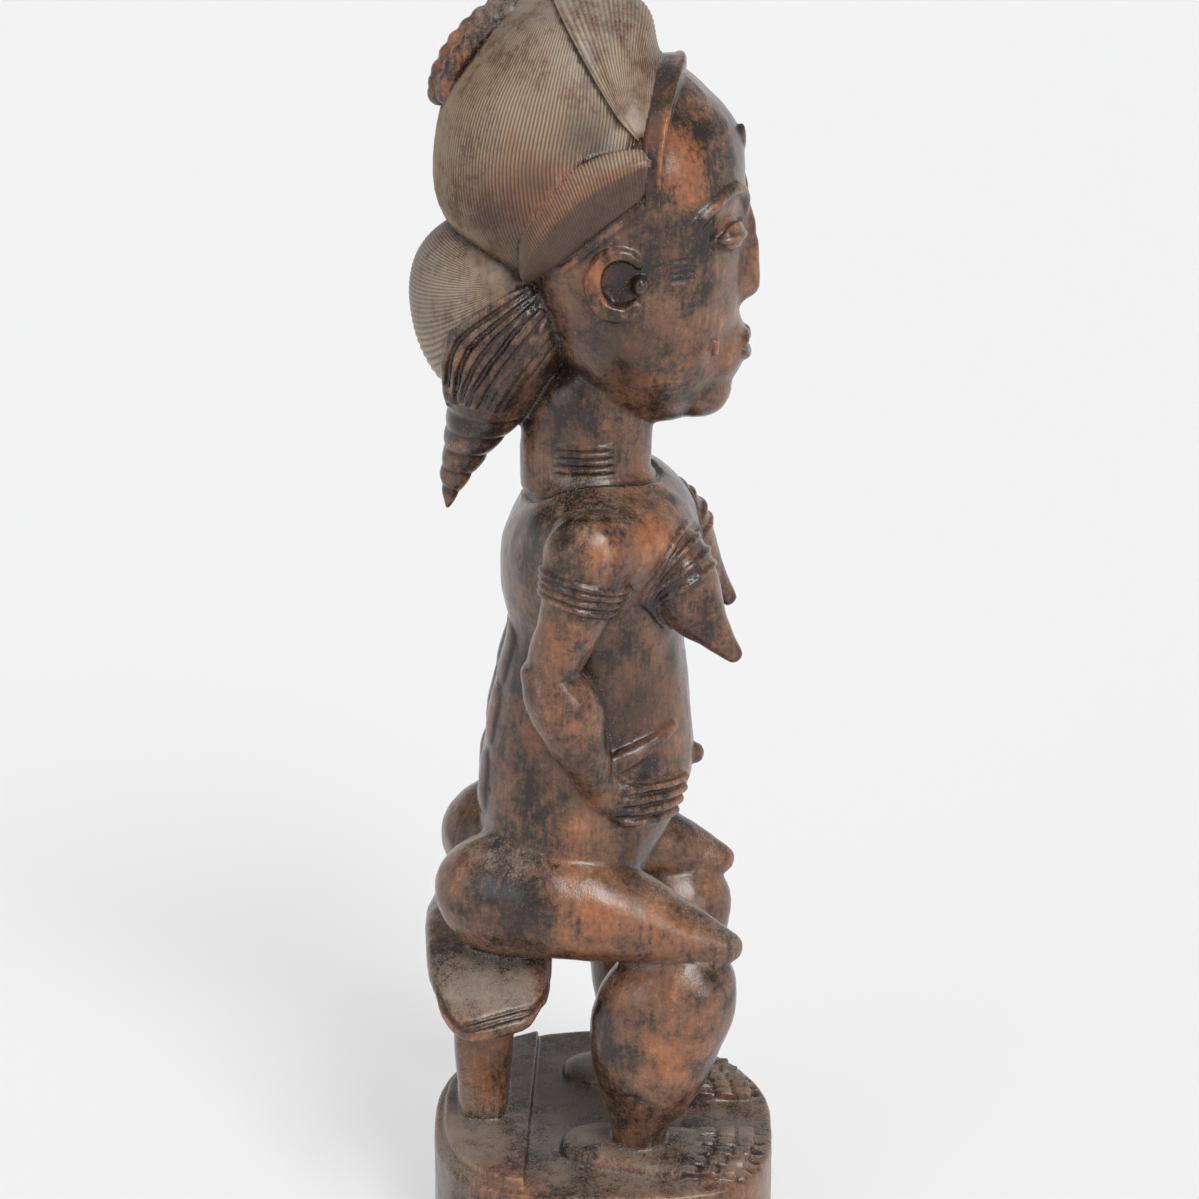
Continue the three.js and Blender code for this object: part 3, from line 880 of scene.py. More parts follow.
def on_tail(path, lift):
    """Points of the tail's or the bun's skin at (y, z) of the right side, lifted off it."""
    y, z = path[:, 0], path[:, 1]
    sides = np.stack([TAIL.reach(y, z), BUN_SHAPE.reach(y, z)])
    levels = [np.stack(form.level_half(z)) for form in (TAIL, BUN_SHAPE)]
    chosen = np.argmax(sides, axis=0)
    side = sides.max(axis=0)
    centre, a, b = np.where(chosen, levels[1], levels[0])
    outward = unit(np.stack([-side / a**2, (y - centre) / b**2, np.zeros(len(y))], axis=1))
    return np.stack([-side, y, z], axis=1) + outward * lift


def braid_forms(bm):
    """The pendant braid with its strands and twist, and the knotted crest."""
    add_skin(bm, TAIL, 64, 64)
    for path in STRANDS:
        points = on_tail(along(path, np.linspace(0, 1, 9)), 0.5)
        add_rod(bm, points, 2.3, blunt=7, height=1.5, side=Z, rings=56)
    # Crest: a raised middle row of knobs between two lower rows
    at = along(CREST, np.linspace(0, 1, KNOBS))
    out = unit(at - np.array([13.0, 440.0]))
    for number in range(KNOBS):
        y, z = at[number] - out[number] * 0.4
        add_egg(bm, (0, y, z), (4.8, 4.6, 4.4))
        if number + 1 < KNOBS:
            y, z = (at[number] + at[number + 1]) / 2 - out[number] * 3.4
            add_egg(bm, (-5.6, y, z), (4.4, 4.6, 4.5), both=True)
    core = [(0, y - o[0] * 3.5, z - o[1] * 3.5, 6.5, 3.5) for (y, z), o in zip(at[::2], out[::2])]
    add_skin(bm, Form(core, blunt=9), 24, 40)


# Carved lines of the body

# The heights between which the tail is twisted, and the fall of one turn
TWIST_TOP, TWIST_LOW, TWIST_PITCH = 336.0, 292.0, 7.6


def twist_tail(knife):
    """The pendant braid's end as a rope, by slanting turns that wind down to its tip."""
    at = knife.points
    chosen = np.nonzero((TAIL.depth(at) < 1.7) & (at[:, 2] > TWIST_LOW) & (at[:, 2] < TWIST_TOP))[0]
    y, _, _ = TAIL.level_half(at[chosen, 2])
    angle = np.arctan2(at[chosen, 0], y - at[chosen, 1])
    wound = (TWIST_TOP - at[chosen, 2]) / TWIST_PITCH - angle / (2 * math.pi)
    wave = np.abs(np.sin(math.pi * wound))
    relief = 1.1 * wave**0.5 - 0.9
    z = at[chosen, 2]
    fade = smooth(TWIST_TOP, TWIST_TOP - 3, z) * smooth(TWIST_LOW + 1, TWIST_LOW + 8, z)
    knife.points[chosen] += knife.normals[chosen] * (relief * fade)[:, None]
    knife.dark[chosen] = smooth(0.55, 0.1, wave) * fade


def carve_braid(knife):
    """Grooves between the strands of the pendant braid, and the web below them."""
    shares = np.linspace(0, 1, 12)
    for near, far in zip(STRANDS[:-1], STRANDS[1:]):
        between = (along(near, shares) + along(far, shares)) / 2
        knife.line(on_tail(between, 1.0), 1.1, -1.3, 1, 0.05, both=True)
    for step, depth in ((2.4, -1.0), (6.0, -0.5), (9.5, -0.5), (13.0, -0.4)):
        web = np.array(STRANDS[-1]) - np.array([0.8, 0.6]) * step
        knife.line(on_tail(web, 0), 1.0, depth, 1, 0.2, both=True)


def carve_rings(knife):
    """Rings on the upper arms and breasts, the collar's groove and the bars on the neck."""
    turn = np.linspace(0, 2 * math.pi, 40)
    for form, first, step, half, height, sharp in (
        (UPPER_ARM, 0.345, 0.036, 1.45, 1.7, 0.7),
        (BREAST, 0.14, 0.045, 1.3, 1.2, 0.8),
    ):
        for ring in range(4):
            share = np.full(len(turn), first + step * ring)
            knife.line(form.point(share, turn), half, height, sharp, 0, both=True, fine=0)
    knife.line(NECK.skin(np.linspace(0, 360, 60), 300.0, 0.6), 2.0, -1.3, 1.5, 0, fine=0)
    for bar in range(4):
        knife.line(NECK.skin([-64, -92, -120], 322 - 2.9 * bar), 1.2, 1.1, 0.7, 0.06, both=True)


def carve_face(knife):
    """Brows that run into the nose, lids, nostrils, mouth, the ear's hollow and temple lines."""
    brow = HEAD.skin([-5, -11, -21, -35, -50, -58], BROW - 5 + np.array([-6, 2.5, 7, 7, 2, -3]), 1.0)
    knife.line(brow, 2.6, 2.2, 0.8, 0.15, both=True)
    corners = [-48, -39, -28, -18, -11]
    for rise, half, height in (
        # Crease over the lid, the lid's rim, the slit and the lower lid
        ([0, 5.4, 7.2, 5.4, 0], 1.2, -1.0),
        ([0, 0.2, 0.4, 0.2, 0], 1.3, 0.8),
        ([0, -2.2, -3.0, -2.2, 0], 1.2, -1.4),
        ([0, -5.2, -6.8, -5.2, 0], 1.2, -0.9),
    ):
        knife.line(HEAD.skin(corners, EYE + np.array(rise), 1.5), half, height, 1, both=True)
    nose_tip = HEAD.skin(0, NOSE_BASE + 5, 3.0)[0]
    knife.line(nose_tip + [(-5, 4.5, -6.5), (-2.2, 3, -6.5)], 1.6, -1.3, 1, 0, both=True, fine=0)
    knife.line(HEAD.skin([-17, -9, 0, 9, 17], MOUTH + 0.2, 3.4), 1.1, -1.2, 1.2, 0.15)
    knife.line([(-43.5, -5.5, 392), (-43.5, -5.5, 387)], 7.5, -1.8, 1, 0, both=True, fine=0)
    for line in range(4):
        knife.line(HEAD.skin([-56, -64, -72], 396.5 - 2.4 * line, 0.2), 1.1, -1.0, 1, 0.2, both=True)


def carve_toes_and_fingers(knife):
    """Gaps between the toes, the lines across their joints and the gaps between the fingers."""
    for foot in FEET:
        reach = 0.14 * foot[2]
        for x, tip, pitch in toe_places(*foot):
            gap = x + pitch / 2
            knife.line([(gap, tip - 4, 44), (gap, tip + 22, 44.5)], 1.6, -1.0, 0.8, 0.1, fine=0)
            for joint in (1, 2):
                y = tip + TOE_JOINT * joint
                knife.line([(x - reach, y, 46.5), (x + reach, y, 46.5)], 1.1, -0.8, 1, 0, fine=0)
    for finger in range(4):
        for half_way in (-2.2, 2.3):
            path = TORSO.skin([-76, -60, -44, -29], finger_heights(finger) - half_way, 3.0)
            knife.line(path, 1.1, -1.0, 1, 0.3, both=True)


def carve_seat_and_back(knife):
    """Lines round the seat's ends, the hairline's ridge and the raised panels down the back."""
    sweep = np.linspace(-1, 1, 40)
    for turn in mirrored():
        for inset in (0.045, 0.075):
            path = SEAT.point(inset + 0.22 * np.abs(sweep) ** 8, np.radians(180 + 70 * sweep)) * turn
            knife.line(path, 1.1, -0.9, 1, 0.05, fine=0)
    foot = np.array(ROLL_EDGES["foot"]) + (0.6, -1.4, -1.8)
    knife.line(foot[:-1], 1.4, 0.8, 0.8, 0.1, both=True)
    for height in (238, 214, 187):
        knife.line(TORSO.skin([165, 165], [height - 5, height + 7]), 7, 1.5, 0.6, 0, both=True)
        for slant in range(5):
            z = height - 5 + 2.6 * slant
            knife.line(TORSO.skin([158, 165, 172], [z + 3, z + 1.5, z], 1.0), 1.1, -0.9, 1, 0.1, both=True)


def carve_lines(thing):
    knife = Carver(thing)
    twist_tail(knife)
    carve_braid(knife)
    carve_rings(knife)
    carve_face(knife)
    carve_toes_and_fingers(knife)
    carve_seat_and_back(knife)
    knife.done()


def uneven(name, size, height):
    """A modifier that moves a skin in and out by soft bumps of a size and height in metres."""
    texture = bpy.data.textures.new(name, "CLOUDS")
    texture.noise_scale = size
    texture.noise_depth = 1
    return "DISPLACE", {"texture": texture, "strength": height, "mid_level": 0.5}


def carve_body():
    """The whole body as one finely meshed skin."""
    settings = bpy.context.scene.figure_carving
    bm = bmesh.new()
    rough_masses(bm)
    face_masses(bm)
    thing = object_of(bm, "body")
    worked(thing, ("REMESH", {"mode": "VOXEL", "voxel_size": settings.block_grain}))
    hollow_face(thing)
    soft = strongest_spot(points_of(thing.data), SOFT, SOFT_CORE)
    weigh(thing, "soft", np.maximum(soft, SOFT_ELSEWHERE))
    worked(
        thing,
        ("SMOOTH", {"factor": 0.5, "iterations": 40, "vertex_group": "soft"}),
        uneven("broad cuts", 0.022, settings.unevenness),
    )
    bm = bmesh.new()
    bm.from_mesh(thing.data)
    small_forms(bm)
    braid_forms(bm)
    bpy.data.objects.remove(thing)
    thing = object_of(bm, "body")
    worked(
        thing,
        ("REMESH", {"mode": "VOXEL", "voxel_size": settings.fine_grain}),
        ("SMOOTH", {"factor": 0.5, "iterations": 2}),
        uneven("small cuts", 0.006, settings.unevenness * 0.35),
    )
    carve_lines(thing)
    faces = 2 * len(thing.data.polygons)
    worked(thing, ("DECIMATE", {"ratio": settings.body_faces / faces}))
    paint(thing.data, "hair", np.zeros(len(thing.data.vertices)))
    return thing


def comb_hair():
    settings = bpy.context.scene.figure_carving
    depth = settings.groove_depth / MM
    return [
        comb("hair_crown", 2 * settings.crown_grooves, 40, crown_shape, depth),
        comb("hair_panel", 2 * settings.panel_grooves, 44, panel_shape, depth * 0.7),
        comb("hair_bun", 2 * settings.bun_grooves, 30, bun_shape, depth * 0.8),
        add_rolls(settings.roll_grooves, depth),
    ]


def join_figure(body, lobes):
    """The body and the lobes of hair as one closed skin."""
    for lobe in lobes:
        worked(body, ("BOOLEAN", {"operation": "UNION", "solver": "MANIFOLD", "object": lobe}))
        bpy.data.objects.remove(lobe)
    body.name = PIECE
    body.data.name = PIECE
    return body


# Shader sums

class Wire:
    """A socket that takes part in sums; each sum adds a Math node."""

    def __init__(self, graph, socket):
        self.graph, self.socket = graph, socket

    def sum(self, operation, first, second):
        node = self.graph.node("ShaderNodeMath", {"operation": operation}, {0: first, 1: second})
        return Wire(self.graph, node.outputs[0])

    def __add__(self, other):
        return self.sum("ADD", self, other)

    def __sub__(self, other):
        return self.sum("SUBTRACT", self, other)

    def __rsub__(self, other):
        return self.sum("SUBTRACT", other, self)

    def __mul__(self, other):
        return self.sum("MULTIPLY", self, other)


class Graph:
    """A material's nodes."""

    def __init__(self, name):
        self.material = bpy.data.materials.new(name)
        self.material.use_nodes = True
        self.tree = self.material.node_tree
        self.tree.nodes.clear()

    def node(self, kind, settings=None, sockets=None):
        """A node of a kind; its settings are set first, then its sockets' values or links."""
        node = self.tree.nodes.new(kind)
        for name, value in (settings or {}).items():
            setattr(node, name, value)
        for key, value in (sockets or {}).items():
            value = value.socket if isinstance(value, Wire) else value
            if isinstance(value, bpy.types.NodeSocket):
                self.tree.links.new(value, node.inputs[key])
            else:
                node.inputs[key].default_value = value
        return node

    def wire(self, kind, settings=None, sockets=None, output=0):
        return Wire(self, self.node(kind, settings, sockets).outputs[output])

    def attribute(self, name):
        return self.wire("ShaderNodeAttribute", {"attribute_name": name}, output="Fac")

    def noise(self, vector, scale, detail, roughness=0.55):
        sockets = {"Vector": vector, "Scale": scale, "Detail": detail, "Roughness": roughness}
        return self.wire("ShaderNodeTexNoise", None, sockets)

    def step(self, value, low, high):
        """0 below low, 1 above high and an even turn between."""
        sockets = {"Value": value, "From Min": low, "From Max": high}
        return self.wire("ShaderNodeMapRange", {"interpolation_type": "SMOOTHSTEP"}, sockets)

    def blend(self, share, first, second):
        """A mix of two colours."""
        sockets = {"Factor": share, "A": first, "B": second}
        return self.wire("ShaderNodeMix", {"data_type": "RGBA"}, sockets, output="Result")

    def finish(self, sockets):
        """The surface's shader, with its sockets."""
        shader = self.node("ShaderNodeBsdfPrincipled", None, sockets)
        self.node("ShaderNodeOutputMaterial", None, {"Surface": shader.outputs[0]})


def colour(red, green, blue):
    """A display colour of 0 to 255 as the linear one that a shader takes."""
    shares = [value / 255 for value in (red, green, blue)]
    return (*[s / 12.92 if s <= 0.04045 else ((s + 0.055) / 1.055) ** 2.4 for s in shares], 1.0)


def colour_setting(name, description, shade):
    return FloatVectorProperty(
        name=name, description=description, subtype="COLOR", size=4, min=0, max=1, default=colour(*shade)
    )


class FinishSettings(bpy.types.PropertyGroup):
    # The dark stain is also the colour of the painted shade in hollows and under forms
    stain: colour_setting("Dark stain", "Stain left in the rubbed body", (37, 28, 25))
    brown: colour_setting("Brown wood", "Rubbed brown wood", (109, 77, 58))
    orange: colour_setting("Worn wood", "Bare orange wood where the stain is worn off", (148, 90, 54))
    # Rubbed tan is also the colour of painted highlights
    rubbed_and_highlight: colour_setting("Rubbed tan", "Pale wood where hands have rubbed it", (176, 134, 96))
    hair_tan: colour_setting("Hair tan", "Dry wood of the combed hair", (170, 146, 119))
    dust: colour_setting("Dust", "Grey dust in hollows and on level places", (132, 125, 116))
    gloss: share_setting("Roughness", "Roughness of the rubbed wood", 0.4)


def stain_wood(thing):
    """Stain, wear, dust and grain as one procedural material."""
    finish = bpy.context.scene.figure_finish
    stain, brown, orange = tuple(finish.stain), tuple(finish.brown), tuple(finish.orange)
    hair_tan = tuple(finish.hair_tan)
    g = Graph("patinated_wood")
    place_at = g.wire("ShaderNodeTexCoord", output="Object")
    grain_at = g.wire("ShaderNodeMapping", None, {"Vector": place_at, "Scale": (1.0, 1.0, 0.1)})
    broad = g.noise(place_at, 26.0, 3.0)
    patch = g.noise(place_at, 90.0, 6.0, 0.65)
    fine = g.noise(place_at, 420.0, 5.0, 0.75)
    speck = g.noise(place_at, 1300.0, 3.0, 0.7)
    streak = g.noise(grain_at, 520.0, 4.0, 0.65)
    hollow, edge, hair, stain_and_shade, wear_and_highlight, dust = [
        g.attribute(name) for name in ("hollow", "edge", "hair", "stain_and_shade", "wear_and_highlight", "dust")
    ]

    # Body: stained, rubbed brown, worn to bare orange wood, palest on the edges; the orange and the rubbed
    # tan are also painted highlights on the edges, forehead and shoulders
    cloud = (patch * 0.7 + streak * 0.3 - 0.5) * 5.5
    shade = cloud + (broad - 0.5) * 4 + (fine - 0.5) * 2.8
    wood = g.blend(g.step(shade, -0.85, 0.65), stain, brown)
    bare_and_highlight = g.step(wear_and_highlight * 1.3 + shade * 0.55 + edge * 0.3, 0.25, 1.35)
    wood = g.blend(bare_and_highlight * 0.9, wood, orange)
    tan = g.step(edge * 0.5 + wear_and_highlight * 0.35 + shade * 0.7, 0.6, 1.8)
    wood = g.blend(tan * 0.6, wood, tuple(finish.rubbed_and_highlight))
    # Hair: dry tan and brown, orange where it is worn
    combed = g.blend(g.step(shade, -1.2, 0.7), brown, hair_tan)
    combed = g.blend(g.step(wear_and_highlight * 1.3 + cloud * 0.4, 0.1, 1.3) * 0.75, combed, orange)
    wood = g.blend(hair, wood, combed)
    # Stain left in the cuts and hollows; it is also painted shade in the hollows, on the undersides of the
    # rolls and in the darkened spots below the breasts and arms
    wood = g.blend(stain_and_shade * 0.85, wood, stain)
    wood = g.blend(g.step(hollow, 0.15, 0.8) * 0.75, wood, stain)
    # Dust over it, and pale flecks
    settled = dust * 1.1 + hollow * 0.15 - wear_and_highlight * 0.3 - stain_and_shade * (1 - hair)
    dusty = g.step(settled + (speck - 0.5) * 1.8 + cloud * 0.45, 0.1, 1.3)
    wood = g.blend(dusty * 0.75, wood, tuple(finish.dust))
    fleck = g.step(speck + dust * 0.06 + hollow * 0.05, 0.64, 0.72)
    wood = g.blend(fleck * (1 - hair * 0.6) * 0.55, wood, hair_tan)

    rough = g.step(dusty * 0.8 + hair * 0.4 + cloud * 0.15, -0.1, 1.1) * 0.4 + finish.gloss - 0.19
    pores = streak * 0.4 + speck * 0.4 + fine * 0.4
    bump = g.node("ShaderNodeBump", None, {"Strength": 0.4, "Distance": 0.0005, "Height": pores})
    g.finish({
        "Base Color": wood, "Roughness": rough, "Normal": bump.outputs[0], "Specular IOR Level": 0.5,
    })
    thing.data.materials.clear()
    thing.data.materials.append(g.material)


# Studio

# The photograph's width and focal length in pixels, and the camera's sensor in millimetres
PHOTO_WIDTH, PHOTO_FOCAL, SENSOR = 1199, 3400, 36
# The point that the camera looks at
AIM = Vector((0, 0.0013, 0.256))
# The paper's half width, where it starts to rise and how high it gets, in metres
PAPER_REACH, PAPER_LEVEL, PAPER_RISE = 12.0, 7.0, 3.0
# The point that every light is turned to, and the strength of the light from all round
LIT_POINT, AMBIENT = Vector((0, 0, 0.25)), 0.38
SUNS = (
    # Name, where it stands, its angle in degrees and its strength
    ("key light", (-0.75, -0.45, 1.2), 24, 2.0),
    ("front light", (-0.8, -0.75, 0.5), 20, 1.0),
    ("back fill", (-0.9, 1.1, 0.8), 40, 0.45),
)
SOFTBOXES = (
    # Name, where it stands, its width in metres and its power in watts
    ("top softbox", (-0.9, 0.3, 2.6), 1.3, 4),
    ("left softbox", (-2.0, 1.9, 1.6), 1.1, 4),
)


class StageSettings(bpy.types.PropertyGroup):
    floor: colour_setting("Floor", "Plain pale paper", (240, 240, 241))
    glow: share_setting("Floor glow", "Share of the floor's light that is its own", 0.6)
    distance: length_setting("Camera distance", "From the point that the camera looks at", 1.268)
    pitch: FloatProperty(
        name="Camera pitch",
        description="How far the camera looks down",
        default=math.radians(20.5),
        subtype="ANGLE",
    )
    lens: FloatProperty(
        name="Lens",
        description="The camera's focal length",
        default=PHOTO_FOCAL * SENSOR / PHOTO_WIDTH,
        unit="CAMERA",
    )


def stood(name, data, place, ahead):
    """An object at a place in metres that looks along a direction."""
    thing = put(name, data)
    thing.location = place
    thing.rotation_mode = "QUATERNION"
    thing.rotation_quaternion = Vector(ahead).to_track_quat("-Z", "Y")
    return thing


def set_camera(stage):
    back = Vector((-math.cos(stage.pitch), 0, math.sin(stage.pitch)))
    lens = bpy.data.cameras.new("camera")
    lens.lens, lens.sensor_width = stage.lens, SENSOR
    bpy.context.scene.camera = stood("camera", lens, AIM + back * stage.distance, -back)


def lay_paper(stage):
    """Paper that is level round the figure and rises far off, so that no horizon shows."""
    bm = bmesh.new()
    bmesh.ops.create_grid(bm, x_segments=72, y_segments=72, size=PAPER_REACH)
    for vert in bm.verts:
        vert.co.z = PAPER_RISE * float(smooth(PAPER_LEVEL, PAPER_REACH, vert.co.length))
    floor = object_of(bm, "floor")
    floor.data.shade_smooth()
    g = Graph("floor_paper")
    shade = [(1 - stage.glow) * value for value in stage.floor[:3]]
    g.finish({
        "Base Color": (*shade, 1.0),
        "Roughness": 0.9,
        "Emission Color": tuple(stage.floor),
        "Emission Strength": stage.glow,
    })
    floor.data.materials.append(g.material)


def hang_lights():
    world = bpy.data.worlds.new("studio")
    bpy.context.scene.world = world
    bpy.context.scene.view_settings.view_transform = "Standard"
    world.use_nodes = True
    sky = world.node_tree.nodes["Background"].inputs
    sky["Color"].default_value = (1, 1, 1, 1)
    sky["Strength"].default_value = AMBIENT
    for name, place, degrees, strength in SUNS:
        light = bpy.data.lights.new(name, "SUN")
        light.energy, light.angle = strength, math.radians(degrees)
        stood(name, light, place, LIT_POINT - Vector(place))
    for name, place, width, watts in SOFTBOXES:
        light = bpy.data.lights.new(name, "AREA")
        light.energy, light.size = watts, width
        stood(name, light, place, LIT_POINT - Vector(place))


# Patina numbers kept on the skin, painted highlights and painted shade among them

# Where the stain is rubbed through, and painted highlights on the forehead and shoulders, on both sides:
# centre, radius and amount
WEAR_AND_HIGHLIGHT = [
    # Thighs, shins and post
    ((-58, 4, 147), 24, 0.5), ((-52, -20, 142), 18, 0.4), ((-56, -26, 94), 22, 0.4),
    ((-20, 44, 62), 14, 0.5),
    # Arms, belly and hips
    ((-60, 12, 230), 15, 0.25), ((-60, 14, 262), 13, 0.35), ((-36, -24, 238), 16, 0.6),
    ((-46, 14, 172), 20, 0.35), ((-40, 30, 215), 16, 0.5),
    # Shoulders (wear with a painted highlight), chest, neck and breasts
    ((-54, 0, 296), 15, 0.6), ((-42, -18, 296), 16, 0.6), ((-22, 4, 332), 14, 0.35),
    ((-40, -44, 256), 12, 0.4),
    # Jaw, forehead (a painted highlight) and the ear's rim
    ((-38, -22, 348), 17, 0.5), ((-38, -28, 432), 30, 0.8), ((-49, 1, 392), 15, 0.9),
    # Crest of knobs and the lower hair
    ((0, 54, 460), 28, 0.6), ((-44, 24, 418), 42, 0.85),
    # Side of the base
    ((-70, 20, 20), 40, 0.3), ((-60, -40, 16), 40, 0.2),
]
# Where dry dust lies
DUSTY = [
    # Top and side of the base, and the stool
    ((-30, 55, 44), 44, 0.75), ((-20, 10, 44), 50, 0.75), ((-30, -50, 45), 44, 0.65),
    ((-60, -20, 20), 60, 0.45), ((-45, 44, 118), 32, 0.65),
    # Crown, the tops of the rolls, the twist and the bun
    ((0, 12, 486), 64, 0.75), ((-38, 12, 440), 14, 0.4), ((0, 50, 318), 26, 0.35),
    ((-16, 58, 378), 40, 0.7),
    # Shoulders, collar, breast roots, hands and elbows
    ((-40, 2, 302), 16, 0.35), ((-16, 10, 308), 22, 0.4), ((-36, -26, 276), 12, 0.5),
    ((-34, -14, 186), 18, 0.4), ((-46, 22, 246), 10, 0.4),
    # Hips, knees and ankles
    ((-38, 36, 164), 20, 0.4), ((-40, -46, 136), 16, 0.45), ((-36, -24, 128), 16, 0.4),
    ((-36, -10, 52), 18, 0.45),
]
# Where the skin is darkened: gathered stain on the headband and in folds, and painted shade below the breast
# and behind and below the arm
DARK = [
    # Headband
    ((-38, -18, 438), 12, 0.5), ((-20, -22, 452), 14, 0.5), ((0, -24, 458), 14, 0.5),
    # Fold above the roll, the hair behind it and the web of the braid
    ((-42, 6, 441), 15, 0.85), ((-42, 24, 424), 12, 0.6), ((-43, 34, 404), 30, 0.8),
    ((-36, 20, 400), 14, 0.5), ((-24, 30, 345), 26, 0.4),
    # Temple, jaw, nape and the side of the neck
    ((-43, -18, 404), 16, 0.5), ((-40, -4, 362), 26, 0.75), ((-30, 6, 345), 18, 0.5),
    ((-21, 12, 330), 22, 0.4),
    # Chest, and painted shade below the breast and behind and below the arm
    ((-36, -16, 284), 16, 0.35), ((-22, -36, 240), 18, 0.5), ((-44, 24, 276), 16, 0.4),
    ((-36, 0, 246), 20, 0.5), ((-33, -12, 226), 30, 0.8), ((-58, 8, 214), 14, 0.4),
    # Lap, thighs and shins
    ((-34, -10, 168), 20, 0.45), ((-18, -22, 160), 22, 0.4), ((-54, 30, 152), 15, 0.75),
    ((-52, -2, 138), 14, 0.4), ((-54, -20, 122), 14, 0.35),
    # Ankles, toes and the top of the base
    ((-36, -8, 48), 18, 0.3), ((-38, -50, 45), 24, 0.35), ((-20, 20, 44), 50, 0.25),
    ((-20, -40, 44), 40, 0.2),
]
LEVEL_DUST, HAIR_DUST = 0.3, 0.5
# The field of solid round the figure: its cell in millimetres and its margin in cells
CELL, FIELD_MARGIN = 1.0, 16
# How far off the skin the solid is measured, and the half size of the cube it is measured in
ROUNDS = ((0.3, 1), (0.5, 3), (1.5, 8))


def solid_field(mesh, points):
    """1 inside a closed mesh and 0 outside, in cells, and the field's first corner."""
    triangles = corners_of(mesh).astype(np.uint32)
    cells = openvdb.createLinearTransform(CELL)
    grid = openvdb.FloatGrid.createLevelSetFromPolygons(points, triangles=triangles, transform=cells)
    low, high = (np.array(end) for end in grid.evalActiveVoxelBoundingBox())
    corner = low - FIELD_MARGIN
    solid = np.zeros(high - low + 1 + 2 * FIELD_MARGIN, np.float32)
    grid.copyToArray(solid, ijk=tuple(int(value) for value in corner))
    return np.clip(0.5 - solid, 0, 1), corner


def share_round(solid, corner, points, radius):
    """The share of solid in a cube of a half size about each point, twice averaged."""
    field = solid
    for _ in range(2):
        for axis in range(3):
            total = np.cumsum(field, axis=axis, dtype=np.float32)
            ahead = np.roll(total, -radius, axis=axis)
            behind = np.roll(total, radius + 1, axis=axis)
            field = (ahead - behind) / (2 * radius + 1)
    at = points - corner
    base = np.floor(at).astype(int)
    part = at - base
    value = np.zeros(len(points))
    for step in np.ndindex(2, 2, 2):
        weight = np.prod(np.where(step, part, 1 - part), axis=1)
        x, y, z = (base + step).T
        value += weight * field[x, y, z]
    return value


def paint_patina(thing):
    """Numbers for hollows, edges, wear with painted highlights, stain with painted shade, and dust, from how
    much solid lies round each point.
    """
    mesh = thing.data
    points, normals = points_of(mesh), normals_of(mesh)
    solid, corner = solid_field(mesh, points)
    near, middle, wide = [
        share_round(solid, corner, points + normals * lift, radius) for lift, radius in ROUNDS
    ]
    paint(mesh, "edge", smooth(0.5, 0.24, near))
    # Hollows, which the material darkens with stain and painted shade
    paint(mesh, "hollow", np.clip(smooth(0.42, 0.72, middle) * 0.6 + smooth(0.4, 0.7, wide) * 0.5, 0, 1))
    hair = painted(mesh, "hair")
    crease = smooth(0.56, 0.74, near) * 0.8 * (1 - hair)
    behind_edge = points[:, 1] - band_line(points[:, 0])
    band = smooth(-3.2, -1.8, behind_edge) * smooth(5.5, 4.5, behind_edge) * smooth(412, 422, points[:, 2])
    # Darkness: stain in the cuts, creases and headband, and painted shade from some of the dark spots
    dark = [painted(mesh, "stain_and_shade"), crease, band * 0.85 * (1 - hair), strongest_spot(points, DARK)]
    paint(mesh, "stain_and_shade", np.max(dark, axis=0))
    # Wear, with painted highlights from the forehead and shoulder spots
    paint(mesh, "wear_and_highlight", np.maximum(painted(mesh, "wear_and_highlight"), strongest_spot(points, WEAR_AND_HIGHLIGHT)))
    level = smooth(0.35, 0.95, normals[:, 2]) * LEVEL_DUST * (1 - HAIR_DUST * hair)
    paint(mesh, "dust", np.clip(level + strongest_spot(points, DUSTY), 0, 1))


# Operators and panel

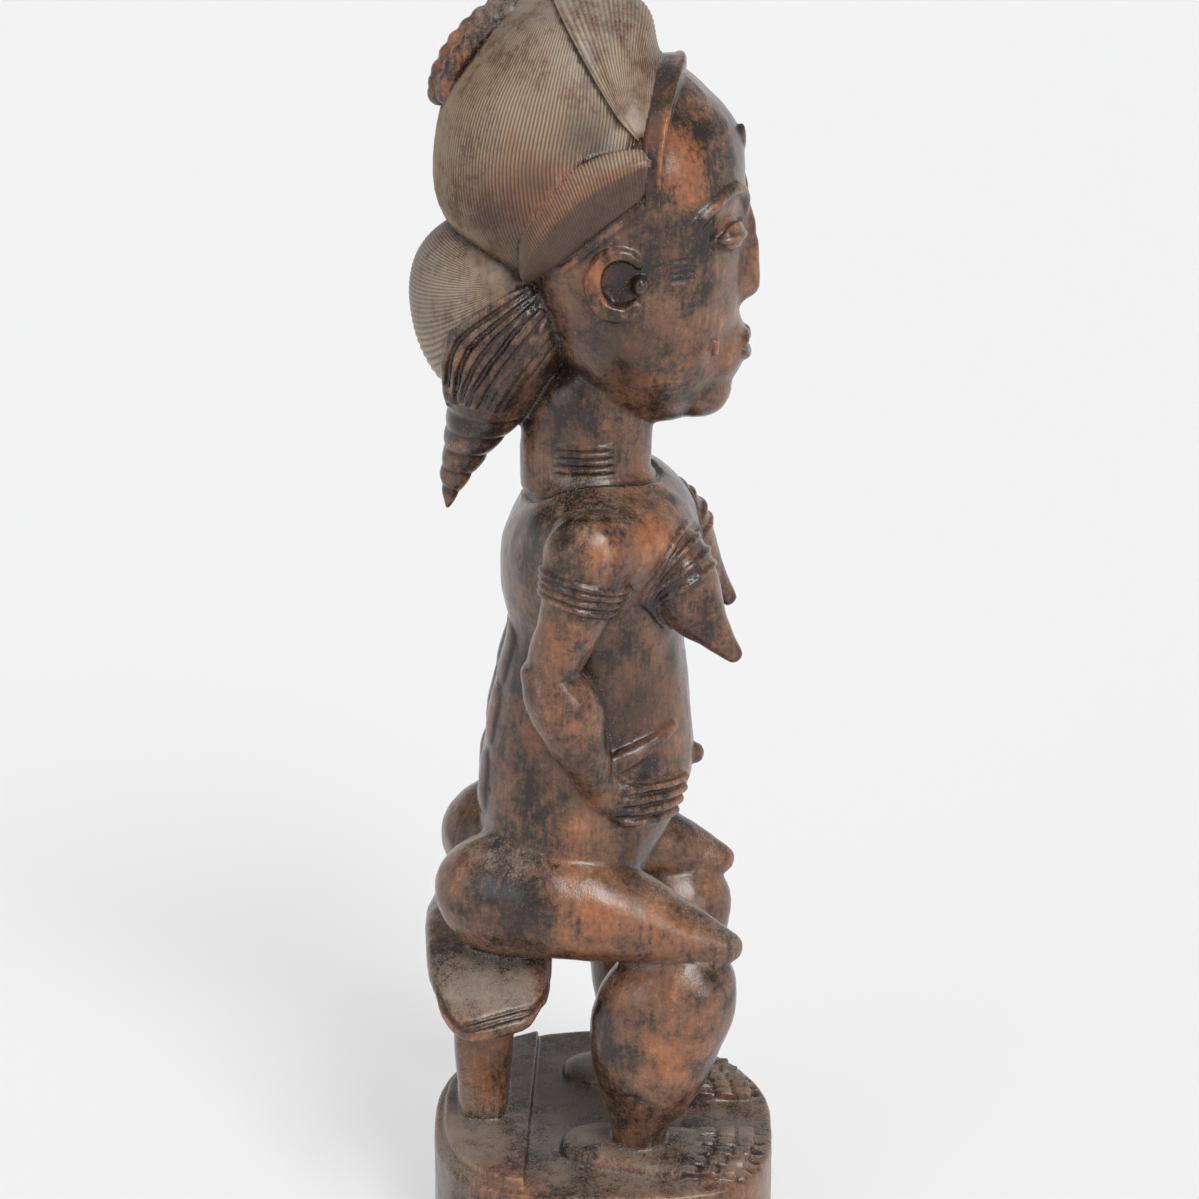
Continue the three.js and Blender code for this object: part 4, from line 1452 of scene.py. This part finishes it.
class FIGURE_OT_carve(bpy.types.Operator):
    """Carve the figure and its hair as one skin"""

    bl_idname = "figure.carve"
    bl_label = "Carve figure"

    def execute(self, context):
        thing = join_figure(carve_body(), comb_hair())
        paint_patina(thing)
        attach(thing, BODY)
        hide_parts(NODE)
        thing.data.shade_smooth()
        return {"FINISHED"}


class FIGURE_OT_stain(bpy.types.Operator):
    """Stain the carved figure"""

    bl_idname = "figure.stain"
    bl_label = "Stain figure"

    def execute(self, context):
        stain_wood(bpy.data.objects[PIECE])
        return {"FINISHED"}


class FIGURE_OT_studio(bpy.types.Operator):
    """Set the floor, the lights and the camera"""

    bl_idname = "figure.studio"
    bl_label = "Set studio"

    def execute(self, context):
        stage = context.scene.figure_stage
        set_camera(stage)
        lay_paper(stage)
        hang_lights()
        return {"FINISHED"}


class FIGURE_PT_panel(bpy.types.Panel):
    """The figure's operators and settings"""

    bl_label = "Carved figure"
    bl_idname = "FIGURE_PT_panel"
    bl_space_type = "VIEW_3D"
    bl_region_type = "UI"
    bl_category = "Figure"

    def draw(self, context):
        for operator, group in (
            ("figure.carve", context.scene.figure_carving),
            ("figure.stain", context.scene.figure_finish),
            ("figure.studio", context.scene.figure_stage),
        ):
            box = self.layout.box()
            box.operator(operator)
            for name in group.__annotations__:
                box.prop(group, name)


CLASSES = (
    CarvingSettings,
    FinishSettings,
    StageSettings,
    FIGURE_OT_carve,
    FIGURE_OT_stain,
    FIGURE_OT_studio,
    FIGURE_PT_panel,
)


def register():
    for kind in CLASSES:
        bpy.utils.register_class(kind)
    bpy.types.Scene.figure_carving = PointerProperty(type=CarvingSettings)
    bpy.types.Scene.figure_finish = PointerProperty(type=FinishSettings)
    bpy.types.Scene.figure_stage = PointerProperty(type=StageSettings)


def unregister():
    del bpy.types.Scene.figure_stage
    del bpy.types.Scene.figure_finish
    del bpy.types.Scene.figure_carving
    for kind in reversed(CLASSES):
        bpy.utils.unregister_class(kind)


def main():
    register()
    bpy.ops.figure.carve()
    bpy.ops.figure.stain()
    bpy.ops.figure.studio()


if __name__ == "__main__":
    main()
